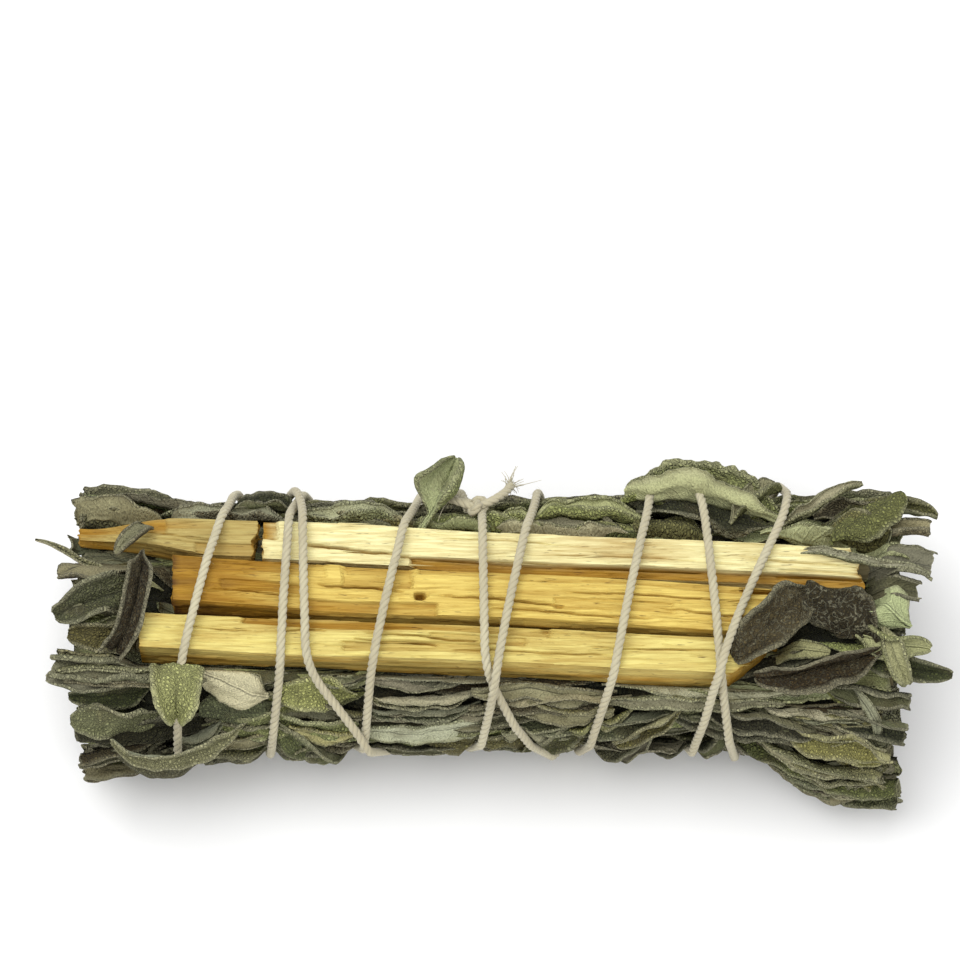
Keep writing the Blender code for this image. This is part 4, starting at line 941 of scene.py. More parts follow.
def leaf_colours(settings):
    """(upper side, felted underside) of each kind of leaf."""
    names = ("grey_green", "pale_felt", "green", "brown", "olive", "yellow", "rose")
    grey, pale, green, brown, olive, yellow, rose = (np.array(getattr(settings, name)) for name in names)
    return {
        "grey": (grey, pale * 0.54),
        "pale": (grey * 1.6, pale * 0.80),
        "white": (grey * 1.9, pale * 1.15),
        "pale_green": (green * 1.6, pale * np.array((1.02, 1.10, 0.84))),
        "blue": (grey * 1.7, pale * np.array((0.80, 0.90, 0.96))),
        "light": (green * 2.0, pale * np.array((0.86, 0.96, 0.74))),
        "green": (green, mix(green, pale, 0.5)),
        "deep": (green * 0.40, green * 0.8),
        "yellow": (yellow, mix(yellow, pale, 0.4)),
        "olive": (olive, mix(olive, pale, 0.75)),
        "rose": (rose * 0.7, mix(rose, pale, 0.6)),
        "brown": (brown, mix(brown, pale, 0.45)),
        "umber": (brown * 0.72, mix(brown, pale, 0.55)),
        "dark": (grey * 0.34, grey * 0.85),
    }


def new_object(name, data):
    made = bpy.data.objects.new(name, data)
    bpy.context.scene.collection.objects.link(made)
    return made


def plain_mesh(work):
    """The plain mesh of an object as its nodes or bevel shape it. The object itself is removed."""
    bpy.context.view_layer.update()
    mesh = bpy.data.meshes.new_from_object(work.evaluated_get(bpy.context.evaluated_depsgraph_get()))
    bpy.data.objects.remove(work)
    return mesh


def finished(name, mesh, finish, node):
    """A finished piece that rides on the bunch, and stands for its solid where it has one."""
    mesh.materials.clear()
    mesh.materials.append(finish)
    piece = new_object(name, mesh)
    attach(piece, "root")
    if node:
        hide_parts(node)


# Stems


def stem_mesh(settings, seed):
    """The cut stems that stand out of both ends: ribbed, nearly square, with a pithy cut face."""
    draws = random.Random(seed)
    points, faces, piths = [], [], []
    sides, stations = 12, 14
    places = [(0, 2.5, 1), (140, 3.0, -1)]  # turn, depth and end of each stem, first those of the heart
    for number, (low, high) in enumerate(SPRIG_TURNS.values()):
        turn = mix(low, high, draws.uniform(0.35, 0.65))
        end = -1 if number % 2 else 1
        places.append((turn, draws.uniform(10.5, 13.5), end))
        places.append((turn + 9, draws.uniform(9.5, 12.0), -end))
    for turn, depth, end in places:
        radius = settings.stem_radius * draws.uniform(0.7, 1.15)
        reach = TRIM + draws.uniform(-1.5, 0.5) * MM
        lean = draws.uniform(-0.06, 0.06)
        angles = np.arange(sides) / sides * 2 * np.pi
        shape = 1 + 0.08 * np.cos(4 * angles)
        rings = []
        for share in np.linspace(0, 1, stations):
            x = end * (reach - STEM_LENGTH * (1 - share))
            ring = radius * shape * (1 + 0.12 * noise.noise((share * 4, turn, depth)))
            middle = polar(x, turn + lean * share * 60, depth * MM)
            rings.append(middle + np.stack((0 * ring, ring * np.cos(angles), ring * np.sin(angles)), -1))
        cut = rings[-1]
        for inward, share in ((0.05, 0.7), (0.35, 0.35)):
            rings.append(mix(cut, cut.mean(0), 1 - share) - np.array((end * inward * MM, 0, 0)))
        rows = len(rings)
        index = sum(map(len, points)) + np.arange(rows * sides).reshape(rows, sides)
        after = np.roll(index, -1, axis=1)
        quads = np.stack((index[:-1], after[:-1], after[1:], index[1:]), -1).reshape(-1, 4)
        caps = [[*index[0][::-1]], [*index[-1]]]
        if end < 0:
            quads, caps = quads[:, ::-1], [cap[::-1] for cap in caps]
        points.append(np.concatenate(rings))
        faces += quads.tolist() + caps
        piths += [0.0] * (sides * stations) + [1.0] * (sides * 2)
    mesh = bpy.data.meshes.new("cut_stems")
    mesh.from_pydata(np.concatenate(points).tolist(), [], faces)
    mesh.validate()
    set_values(mesh, "pith", "FLOAT", "value", piths)
    return mesh


# Sticks


@dataclass
class Stick:
    """A piece of split wood. Lengths in millimetres, and shares across it from its front edge to its back."""

    node: str
    left: tuple
    right: tuple
    width: float
    height: float
    tint: tuple
    slant: float = 0.0
    taper: float = 1.0
    seed: int = 0
    left_end_shadow_and_orange: float = 0.0  # how much darker and more orange its left end is: partly the wood's own orange, partly a painted shadow
    strips: tuple = ()  # (from x, to x, from share, to share, drop): strips torn from the top
    splits: tuple = ()  # (from x, to x, share at each, depth, width): open cracks along the grain
    holes: tuple = ()  # (x, share, radius): knot holes


def sticks():
    """The three long sticks, from the back to the front, and the offcut."""
    return (
        Stick(
            "wood_stick_1", (-36.9, 8.2), (60.4, 3.5), 6.8, 8.0, (0.88, 0.84, 0.46), -2.0, seed=1,
            strips=((-13, 62, -0.1, 0.22, 1.3), (-40, -34, 0.5, 1.1, 1.1), (46, 62, 0.2, 0.34, 0.5)),
            splits=((-31, -15, 0.42, 0.30, 1.6, 0.28), (-16, -12, 0.30, 0.20, 0.9, 0.2),
                    (-12, 59, 0.235, 0.235, 0.9, 0.13), (4, 40, 0.5, 0.46, 0.35, 0.12),
                    (40, 60, 0.62, 0.5, 0.5, 0.15), (-8, 16, 0.8, 0.74, 0.4, 0.12)),
        ),
        Stick(
            "wood_stick_2", (-51.2, 1.3), (47.1, -4.2), 8.0, 9.2, (0.74, 0.585, 0.16), 0.5, seed=2,
            left_end_shadow_and_orange=0.85,
            strips=((-60, -26, 0.72, 1.1, 0.5), (-24, -12, 0.55, 1.1, 0.8), (-12, 50, 0.86, 1.1, 0.6),
                    (-30, -8, -0.1, 0.22, 0.9), (10, 30, 0.3, 0.5, 0.6), (-44, -30, 0.32, 0.5, 0.5)),
            splits=((-28, -14, 0.55, 0.5, 1.0, 0.2), (-8, 12, 0.44, 0.34, 1.2, 0.22),
                    (-45, -30, 0.3, 0.26, 0.7, 0.15), (12, 46, 0.62, 0.7, 0.7, 0.16),
                    (0, 26, 0.2, 0.16, 0.9, 0.2), (26, 46, 0.4, 0.3, 0.6, 0.14),
                    (40, 48, 0.92, 0.92, 1.6, 0.3)),
            holes=((-11.2, 0.40, 0.6),),
        ),
        Stick(
            "wood_stick_3", (-56.4, -7.0), (45.2, -11.4), 6.0, 7.8, (0.75, 0.66, 0.23), 6.5, seed=3,
            strips=((-40, 10, 0.80, 1.1, 0.7), (8, 50, 0.9, 1.1, 0.4), (-24, 0, 0.2, 0.44, 0.6),
                    (-10, 6, 0.5, 0.7, 0.5)),
            splits=((-22, -8, 0.5, 0.42, 0.9, 0.18), (-20, -2, 0.66, 0.58, 0.9, 0.18),
                    (-6, 20, 0.3, 0.36, 0.6, 0.14), (16, 44, 0.56, 0.62, 0.6, 0.14),
                    (-50, -38, 0.66, 0.6, 0.4, 0.12), (-34, -26, 0.66, 0.7, 0.6, 0.14)),
        ),
        Stick(
            "wood_stick_4", (-67.0, 10.8), (-37.4, 8.8), 6.2, 7.0, (0.50, 0.41, 0.15), 1.0, 0.35, seed=4,
            left_end_shadow_and_orange=0.4,
            strips=((-70, -52, 0.5, 1.1, 0.6), (-48, -36, -0.1, 0.3, 0.5)),
            splits=((-60, -42, 0.5, 0.4, 0.6, 0.16),),
        ),
    )


def stick_recess(stick, x, share):
    """How far the torn top of a stick lies under its height, at x and this share across, in metres."""
    y = share * stick.width * MM
    at = np.stack(np.broadcast_arrays(x * 0.028, y, 0 * x), -1)
    layers = roughness_at(at, 1.3 * MM, stick.seed) + 0.4 * roughness_at(at, 0.5 * MM, stick.seed + 5)
    recess = (0.28 + np.floor(layers * 4) / 4 * 0.36) * MM
    fine = np.stack(np.broadcast_arrays(x * 0.03, y, 0 * x), -1)
    recess = recess + 0.10 * MM * roughness_at(fine, 0.28 * MM, stick.seed + 11)
    for start, end, low, high, drop in stick.strips:
        wavering = share + 0.03 * np.sin(x / (5 * MM))
        within = smooth(start, start + 0.8, x / MM) * (1 - smooth(end - 0.8, end, x / MM))
        within = within * smooth(low - 0.03, low, wavering) * (1 - smooth(high, high + 0.03, wavering))
        recess = recess + drop * MM * within
    for start, end, first, last, depth, width in stick.splits:
        along = np.clip((x / MM - start) / (end - start), 0, 1)
        wander = 0.018 * np.sin(along * 7 + start) + 0.006 * np.sin(along * 31)
        away = (share - mix(first, last, along) - wander) * stick.width / width
        recess = recess + depth * MM * np.exp(-away * away) * np.sin(np.pi * along) ** 0.4
    for hole_x, hole_share, radius in stick.holes:
        away = np.hypot((x / MM - hole_x) / 1.5, (share - hole_share) * stick.width) / radius
        recess = recess + 2.6 * MM * np.exp(-(away**4))
    return np.clip(recess, 0, 0.6 * stick.height * MM)


def stick_section():
    """Shares across and up of the points round a stick, from its top's front edge over the top and round."""
    top = [(share, 1.0) for share in np.linspace(0, 1, 61)]
    back = [(1.0, share) for share in np.linspace(1, 0, 15)[1:]]
    foot = [(share, 0.0) for share in np.linspace(1, 0, 9)[1:]]
    front = [(0.0, share) for share in np.linspace(0, 1, 19)[1:-1]]
    return np.array(top + back + foot + front)


def stick_mesh(stick):
    """A stick with its torn top, its split sides and its ragged ends, laid out from left to right."""
    across, up = (column[None, :] for column in stick_section().T)
    left, right = np.array(stick.left) * MM, np.array(stick.right) * MM
    share = np.linspace(0, 1, STICK_ROWS)[:, None]
    end_face = np.stack(np.broadcast_arrays(across, up, 0 * up), -1)
    ragged = np.floor(6 * roughness_at(end_face, 0.3, stick.seed)) / 6
    slip = np.maximum(np.where(stick.slant > 0, 1 - across, across) * abs(stick.slant), 0) * MM
    start = left[0] + (0.3 + ragged * 0.4) * MM
    end = right[0] - slip - (0.2 - ragged * 0.9) * MM
    x = mix(start, end, share)
    width = stick.width * MM * mix(stick.taper, 1.0, smooth(0, 0.8, share))
    thinned = mix(1.0, stick.taper, 0.6)
    height = stick.height * MM * mix(thinned, 1.0, smooth(0, 0.5, share))
    bow = 0.3 * MM * np.sin(share * 9 + stick.seed)
    y = mix(left[1], right[1], share) + (across - 0.5) * width + bow * 0.5
    recess = stick_recess(stick, x, across)
    low = STICK_BED + 0.3 * MM
    z = low + up * np.maximum(height - recess * mix(stick.taper, 1, 0.5), 1.5 * MM)
    side = np.stack(np.broadcast_arrays(x * 0.06, 0 * x + stick.seed, z), -1)
    torn = np.floor(4 * roughness_at(side, 1.1 * MM, 7)) / 4 * 0.7 + 0.12 * roughness_at(side, 0.35 * MM, 3)
    inward = np.where(across == 0, 1, np.where(across == 1, -1, 0)) * (0.25 + torn * 0.8) * MM
    y = y + np.where(up < 1, inward, inward * 0.7)
    points = np.stack((x, y, z), -1) - MIDDLE
    depth = recess / (1.9 * MM) + 0.0 * x
    # The split sides are coloured deeper than the top: partly their torn wood, partly painted shade, most
    # toward their foot.
    depth = np.where(up < 1, 0.34 + 0.5 * np.abs(torn) + 0.25 * (1 - up), depth)
    depth = depth + 0.3 * (1 - smooth(0, 0.012, share)) + 0.3 * smooth(0.99, 1.0, share)
    # Painted shadow and orange tint on the left end, fading over its first third.
    depth = depth + stick.left_end_shadow_and_orange * (1 - smooth(0.02, 0.30, share))
    return capped_mesh(stick, points, depth)


def capped_mesh(stick, points, depth):
    """Closes both ends of a stick with broken, fibrous faces."""
    columns = points.shape[1]
    ends = []
    for block, side in ((points[0], 1), (points[-1], -1)):
        rings = [mix(block.mean(0), block, share) for share in (0.72, 0.4)]
        for ring in rings:
            ring[:, 0] += 0.5 * MM * roughness_at(ring, 0.5 * MM, stick.seed) * side
        ends.append(rings)
    flat = np.concatenate([*ends[0][::-1], *points, *ends[1]])
    end_depth = np.full((2, columns), 0.75)
    index = np.arange(len(flat)).reshape(-1, columns)
    after = np.roll(index, -1, axis=1)
    quads = np.stack((index[:-1], index[1:], after[1:], after[:-1]), -1).reshape(-1, 4)
    mesh = bpy.data.meshes.new(stick.node)
    mesh.from_pydata(flat.tolist(), [], quads.tolist() + [[*index[0]], [*index[-1][::-1]]])
    mesh.validate()
    set_values(mesh, "depth", "FLOAT", "value", np.concatenate((end_depth, depth, end_depth)))
    set_values(mesh, "tint", "FLOAT_COLOR", "color", np.tile((*stick.tint, 1.0), (len(flat), 1)))
    return mesh


def new_node_group(name, kinds):
    """A Geometry Nodes group with a geometry and these inputs: its tree, its graph and its inputs' values."""
    tree = bpy.data.node_groups.new(name, "GeometryNodeTree")
    for socket, kind in {"Geometry": "Geometry", **kinds}.items():
        tree.interface.new_socket(socket, in_out="INPUT", socket_type="NodeSocket" + kind)
    tree.interface.new_socket("Geometry", in_out="OUTPUT", socket_type="NodeSocketGeometry")
    graph = Graph(tree)
    return tree, graph, graph.add("NodeGroupInput").outputs


def hand_out(graph, body, spread, finish):
    """Ends a node group: the body and the real copies of what is spread over it, in one finish."""
    real = graph.add("GeometryNodeRealizeInstances", {0: spread}).outputs[0]
    both = graph.add("GeometryNodeJoinGeometry")
    graph.tree.links.new(body, both.inputs[0])
    graph.tree.links.new(real, both.inputs[0])
    done = graph.add("GeometryNodeSetMaterial", {"Geometry": both.outputs[0], "Material": finish})
    graph.add("NodeGroupOutput", {0: done.outputs[0]})


def splinter_nodes(finish):
    """Geometry Nodes that lay torn splinters along the grain of a stick."""
    kinds = {"Density": "Float", "Length": "Float", "Thickness": "Float", "Seed": "Int"}
    tree, graph, given = new_node_group("splinters", kinds)
    normal = graph.add("GeometryNodeInputNormal").outputs[0]
    upward = graph.math("GREATER_THAN", graph.add("ShaderNodeSeparateXYZ", {0: normal}).outputs[2], 0.4)
    scatter = graph.add(
        "GeometryNodeDistributePointsOnFaces",
        {"Mesh": given["Geometry"], "Selection": upward, "Density": given["Density"], "Seed": given["Seed"]},
    )
    cone = graph.add("GeometryNodeMeshCone", {"Vertices": 4, "Radius Bottom": 0.5, "Depth": 1.0})
    lying = {"Geometry": cone.outputs["Mesh"], "Rotation": (0.0, math.radians(86), 0.0)}
    sliver = graph.add("GeometryNodeTransform", lying).outputs[0]
    turn = graph.random(given["Seed"], (0.0, -0.10, -0.12), (0.0, 0.06, 0.12))
    length = graph.math("MULTIPLY", given["Length"], graph.random(given["Seed"], 0.35, 1.0))
    sides = {0: length, 1: given["Thickness"], 2: given["Thickness"]}
    scale = graph.add("ShaderNodeCombineXYZ", sides).outputs[0]
    placed = graph.add(
        "GeometryNodeInstanceOnPoints",
        {"Points": scatter.outputs["Points"], "Instance": sliver, "Rotation": turn, "Scale": scale},
    ).outputs[0]
    hand_out(graph, given["Geometry"], placed, finish)
    return tree


def through_nodes(source, tree, name, values):
    """The plain mesh that a node tree makes of an object's data, with its inputs set by name."""
    work = new_object(name, source)
    change = work.modifiers.new(name, "NODES")
    change.node_group = tree
    for item in tree.interface.items_tree:
        if item.in_out == "INPUT" and item.name in values:
            change[item.identifier] = values[item.name]
    mesh = plain_mesh(work)
    mesh.name = name
    return mesh


# Twine


def wound_stations():
    """(turn, x) of each place that the twine is drawn through, in its order."""
    stations = []
    for number, places in enumerate(TWINE_PASSES):
        stations += [(360.0 * number + turn, x * MM) for turn, x in zip(PASS_TURNS, places)]
    stations.append((360.0 * len(TWINE_PASSES) + PASS_TURNS[0], TWINE_END * MM))
    first, last = stations[0], stations[-1]
    return [(first[0] - LEAD, first[1]), *stations, (last[0] + LEAD, last[1])]


def resting_radius(tree, turn, x, twine_radius):
    """How far from the axis a twine's middle lies here when it touches what is under it."""
    outside = 60 * MM
    inward = Vector(polar(0, turn, 0.0) - polar(0, turn, 1.0))
    most = HEART_RADIUS
    for aside in (-0.9 * MM, -0.45 * MM, 0, 0.45 * MM, 0.9 * MM):
        start = Vector(polar(x + aside, turn, outside))
        hit = tree.ray_cast(start, inward)[0]
        if hit is not None:
            most = max(most, outside - (hit - start).length)
    return most + TWINE_CLEARANCE + twine_radius


def over_earlier_turns(radii, xs, per_turn, apart):
    """Lifts the twine over each earlier turn of it that it crosses."""
    made = radii.copy()
    for back in range(per_turn, len(radii), per_turn):
        away = np.abs(xs[back:] - xs[:-back])
        over = radii[:-back] + np.sqrt(np.maximum(apart**2 - away**2, 0))
        made[back:] = np.where(away < apart, np.maximum(made[back:], over), made[back:])
    return made


def drawn_taut(radii):
    """Replaces each dip that a taut twine would span by the straight stretch across it."""
    taut = radii.copy()
    step = math.radians(TURN_STEP)
    for before in range(1, CHORD_REACH):
        for after in range(1, CHORD_REACH):
            first, last = radii[: -before - after], radii[before + after :]
            across = (
                first * last * math.sin((before + after) * step)
                / (first * math.sin(before * step) + last * math.sin(after * step))
            )
            middle = slice(before, len(radii) - after)
            taut[middle] = np.maximum(taut[middle], across)
    return taut


@functools.cache
def wound_route():
    """The points of the wound twine, from the knot round the bunch and back: drawn taut over the solids."""
    corners, faces = [], []
    for name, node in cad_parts.items():
        if name != "twine":
            offset = len(corners)
            corners += [vertex.co.copy() for vertex in node.data.vertices]
            faces += [[offset + index for index in face.vertices] for face in node.data.polygons]
    tree = BVHTree.FromPolygons(corners, faces)
    twine_radius = bpy.context.scene.sage_twine.diameter / 2
    stations = wound_stations()
    turns = np.arange(stations[0][0], stations[-1][0] + TURN_STEP / 2, TURN_STEP)
    xs = np.interp(turns, [turn for turn, _ in stations], [x for _, x in stations])
    xs[4:-4] = np.convolve(xs, np.ones(9) / 9, mode="valid")
    resting = np.array([resting_radius(tree, turn, x, twine_radius) for turn, x in zip(turns, xs)])
    resting = np.maximum(resting, np.maximum(np.roll(resting, 1), np.roll(resting, -1)))
    radii = resting
    apart = 2 * twine_radius + 0.1 * MM
    for _ in range(8):
        radii = drawn_taut(np.maximum(resting, over_earlier_turns(radii, xs, round(360 / TURN_STEP), apart)))
    lead = round(LEAD / TURN_STEP)
    return polar(xs, turns, radii)[lead:-lead]


@functools.cache
def twine_search():
    """A search tree over closely set points of the twine, and each point's radius from the axis."""
    route = wound_route()
    steps = 4
    share = np.linspace(0, 1, steps, endpoint=False)[None, :, None]
    fine = mix(route[:-1, None], route[1:, None], share).reshape(-1, 3)
    tree = KDTree(len(fine))
    for index, point in enumerate(fine):
        tree.insert(point, index)
    tree.balance()
    return tree, unrolled(fine)[2]


def knot_paths():
    """The loop of the knot and its two loose ends, as points."""
    route = wound_route()
    over = (route[0] + route[-1]) / 2
    _, turn, radius = unrolled(over)
    radius = radius + KNOT_LIFT
    centre = polar(over[0] + MIDDLE[0], turn, radius)
    outward = unit(polar(0, turn, 1.0) - polar(0, turn, 0.0))
    along = np.array((1.0, 0.0, 0.0))
    across = np.cross(outward, along)
    share = np.linspace(0.25, 2 * np.pi - 0.25, 40)[:, None]
    loop = along * (np.sin(share) + 1.5 * np.sin(2 * share))
    loop = loop + across * (np.cos(share) - 1.5 * np.cos(2 * share))
    loop = centre + (loop - outward * 0.9 * np.sin(3 * share)) * 0.72 * MM
    tails = []
    for tail in TAILS:
        points = np.array([polar(x * MM, angle, radius + lift * MM) for x, angle, lift in tail])
        share = np.linspace(0, len(points) - 1, 16)
        whole = np.stack([np.interp(share, range(len(points)), points[:, axis]) for axis in range(3)], -1)
        whole[1:-1] = (whole[:-2] + whole[1:-1] + whole[2:]) / 3
        tails.append(whole)
    return loop, tails


def curve_of(name, paths, radii=None):
    """A poly curve through each path of points."""
    line = bpy.data.curves.new(name, "CURVE")
    line.dimensions = "3D"
    for number, path in enumerate(paths):
        spline = line.splines.new("POLY")
        spline.points.add(len(path) - 1)
        spline.points.foreach_set("co", np.concatenate((path, np.ones((len(path), 1))), axis=1).ravel())
        if radii is not None:
            spline.points.foreach_set("radius", radii[number])
    return line


def twine_nodes(finish):
    """Geometry Nodes that lay twisted plies along a line, with loose fibres standing off them."""
    kinds = {"Plies": "Int", "Diameter": "Float", "Lay": "Float", "Fuzz": "Float", "Fuzz Length": "Float"}
    tree, graph, given = new_node_group("twisted_plies", {**kinds, "Seed": "Int"})
    spacing = {"Curve": given["Geometry"], "Length": 0.42 * MM}
    line = graph.add("GeometryNodeResampleCurve", spacing, mode="LENGTH").outputs[0]
    line = graph.stored(line, "centre", graph.add("GeometryNodeInputPosition").outputs[0], "FLOAT_VECTOR")
    length = graph.add("GeometryNodeSplineParameter").outputs["Length"]
    line = graph.stored(line, "along", length)
    doubled = {"Geometry": line, "Amount": given["Plies"]}
    copies = graph.add("GeometryNodeDuplicateElements", doubled, domain="SPLINE")
    count = graph.math("DIVIDE", copies.outputs["Duplicate Index"], given["Plies"])
    laid = graph.math("DIVIDE", length, given["Lay"])
    angle = graph.math("MULTIPLY", graph.math("ADD", count, laid), 2 * math.pi)
    normal = graph.add("GeometryNodeInputNormal").outputs[0]
    tangent = graph.add("GeometryNodeInputTangent").outputs[0]
    third = graph.vector("CROSS_PRODUCT", tangent, normal)
    first = graph.scaled(normal, graph.math("COSINE", angle))
    second = graph.scaled(third, graph.math("SINE", angle))
    offset = graph.scaled(graph.vector("ADD", first, second), graph.math("MULTIPLY", given["Diameter"], 0.21))
    moved = {"Geometry": copies.outputs["Geometry"], "Offset": offset}
    plies = graph.add("GeometryNodeSetPosition", moved).outputs[0]
    ply_radius = graph.math("MULTIPLY", given["Diameter"], 0.29)
    ring = graph.add("GeometryNodeCurvePrimitiveCircle", {"Resolution": 7, "Radius": ply_radius}).outputs[0]
    ring = graph.stored(ring, "around", graph.add("GeometryNodeSplineParameter").outputs["Factor"])
    swept = {"Curve": plies, "Profile Curve": ring, "Fill Caps": True}
    body = graph.add("GeometryNodeCurveToMesh", swept).outputs[0]
    centre = graph.add("GeometryNodeInputNamedAttribute", {"Name": "centre"}, data_type="FLOAT_VECTOR")
    place = graph.add("GeometryNodeInputPosition").outputs[0]
    apart = graph.vector("DISTANCE", place, centre.outputs[0], out="Value")
    outward = graph.math("DIVIDE", apart, graph.math("MULTIPLY", given["Diameter"], 0.5))
    body = graph.stored(body, "outward", outward)
    outer = graph.math("GREATER_THAN", outward, 0.85)
    scatter = graph.add(
        "GeometryNodeDistributePointsOnFaces",
        {"Mesh": body, "Selection": outer, "Density": given["Fuzz"], "Seed": given["Seed"]},
    )
    hair = graph.add("GeometryNodeMeshCone", {"Vertices": 3, "Radius Bottom": 0.016, "Depth": 1.0})
    lean = graph.random(given["Seed"], (-1.25, -1.25, 0.0), (1.25, 1.25, 6.3))
    spin = graph.add("FunctionNodeEulerToRotation", {0: lean}).outputs[0]
    leaning = {0: scatter.outputs["Rotation"], 1: spin}
    aim = graph.add("FunctionNodeRotateRotation", leaning, rotation_space="LOCAL")
    scale = graph.math("MULTIPLY", given["Fuzz Length"], graph.random(given["Seed"], 0.3, 1.0))
    hairs = graph.add(
        "GeometryNodeInstanceOnPoints",
        {
            "Points": scatter.outputs["Points"],
            "Instance": hair.outputs["Mesh"],
            "Rotation": aim.outputs[0],
            "Scale": scale,
        },
    ).outputs[0]
    hand_out(graph, body, hairs, finish)
    return tree


def frayed_mesh(tails, count, seed):
    """The loose fibres that fan out of the twine's two cut ends."""
    draws = random.Random(seed)
    paths, radii = [], []
    for tail in tails:
        forward = unit(tail[-1] - tail[-3])
        for _ in range(count):
            spread = np.array([draws.gauss(0, 0.38) for _ in range(3)])
            bend = np.array([draws.gauss(0, 0.5) for _ in range(3)])
            length = draws.uniform(1.2, 3.2) * MM
            share = np.linspace(0, 1, 7)[:, None]
            start = tail[-2] + np.array([draws.gauss(0, 0.22) for _ in range(3)]) * MM
            paths.append(start + length * (share * (forward + spread) + share * share * bend))
            radii.append(np.linspace(1, 0.35, 7))
    line = curve_of("frayed_ends", paths, radii)
    line.bevel_depth = 0.09 * MM
    line.bevel_resolution = 0
    line.use_fill_caps = True
    mesh = plain_mesh(new_object("frayed_ends", line))
    set_values(mesh, "outward", "FLOAT", "value", np.ones(len(mesh.vertices)))
    return mesh


# Settings


def a_length(name, description, default, least):
    return FloatProperty(name=name, description=description, default=default, min=least, unit="LENGTH")


def a_colour(name, description, default):
    return FloatVectorProperty(name=name, description=description, default=default, subtype="COLOR")


class SageLeafSettings(bpy.types.PropertyGroup):
    thickness: a_length("Leaf Thickness", "Of a dried leaf at its middle", 0.00042, 0.0001)
    vein_gap: a_length("Vein Spacing", "Between the side veins of a leaf", 0.0019, 0.0005)
    pebble_size: a_length("Pebble Size", "Of the puckers on a leaf's upper side", 0.00055, 0.0002)
    fill: IntProperty(name="Filling Leaves", description="Laid along a sprig", default=20, min=0)
    end_fill: IntProperty(name="Cut Leaves", description="At each end of a sprig", default=13, min=0)
    stem_radius: a_length("Stem Radius", "Of a cut stem", 0.0013, 0.0004)
    pale_felt: a_colour("Pale Felt", "The felted underside of a leaf", (0.42, 0.41, 0.26))
    grey_green: a_colour("Grey Green", "The upper side of most leaves", (0.17, 0.175, 0.09))
    green: a_colour("Green", "Leaves that dried in the shade", (0.19, 0.21, 0.075))
    olive: a_colour("Olive", "Leaves on the turn", (0.19, 0.175, 0.065))
    rose: a_colour("Rose Brown", "Leaves that dried pinkish", (0.28, 0.255, 0.155))
    brown: a_colour("Brown", "Leaves that browned", (0.09, 0.067, 0.028))
    yellow: a_colour("Yellow Green", "The youngest leaves", (0.33, 0.31, 0.10))
    withered: a_colour("Withered", "Blotches on every leaf", (0.13, 0.11, 0.055))
    # The margin colour is also painted along the crests of crumpled leaves as a highlight.
    rim: a_colour("Rim", "The woolly margin of a leaf", (0.45, 0.43, 0.28))
    stem_dark: a_colour("Stem Shade", "Between the ribs of a stem", (0.09, 0.07, 0.035))
    pith: a_colour("Pith", "The cut face of a stem", (0.25, 0.21, 0.11))
    stem_light: a_colour("Stem", "The ribs of a stem", (0.24, 0.21, 0.11))


class SageStickSettings(bpy.types.PropertyGroup):
    splinters: FloatProperty(
        name="Splinters", description="On each square metre of torn wood", default=60000, min=0
    )
    splinter_length: a_length("Splinter Length", "Of the longest splinter", 0.006, 0.0005)
    splinter_thickness: a_length("Splinter Thickness", "Of a splinter at its root", 0.00032, 0.0001)
    torn: a_colour("Torn Wood", "Orange wood where it split deeper", (0.40, 0.225, 0.028))
    # Painted shade at the bottom of the cracks, and also the colour of the pores.
    crack_shade_and_pores: a_colour("Crack", "The bottom of the cracks", (0.09, 0.04, 0.015))


class SageTwineSettings(bpy.types.PropertyGroup):
    diameter: a_length("Diameter", "Of the whole twine", 0.0015, 0.0005)
    plies: IntProperty(name="Plies", description="Strands twisted together", default=3, min=2, max=4)
    lay: a_length("Lay", "Length of one full twist of the plies", 0.0038, 0.001)
    fuzz: FloatProperty(name="Fuzz", description="Loose fibres on each square metre", default=700000, min=0)
    fuzz_length: a_length("Fuzz Length", "Of the longest loose fibre", 0.0011, 0.0002)
    frayed: IntProperty(name="Frayed Fibres", description="At each loose end", default=46, min=0)
    colour: a_colour("Cotton", "Unbleached cotton", (0.53, 0.49, 0.34))
    shade: a_colour("Cotton Shade", "Between the fibres", (0.42, 0.375, 0.25))
    # Painted shade in the grooves between the plies.
    ply_groove_shade: a_colour("Groove", "Where two plies meet", (0.30, 0.26, 0.165))


class SageStageSettings(bpy.types.PropertyGroup):
    floor: a_colour("Floor", "Colour of the table", (0.90, 0.90, 0.90))
    key: FloatProperty(name="Key Light", description="From above", default=3.8, min=0, subtype="POWER")
    fill: FloatProperty(name="Fill Light", description="From in front", default=1.2, min=0, subtype="POWER")
    sky: FloatProperty(name="Sky", description="Even light from all round", default=0.66, min=0)
    lens: FloatProperty(name="Lens", description="Focal length in millimetres", default=150, min=20)


# Operators


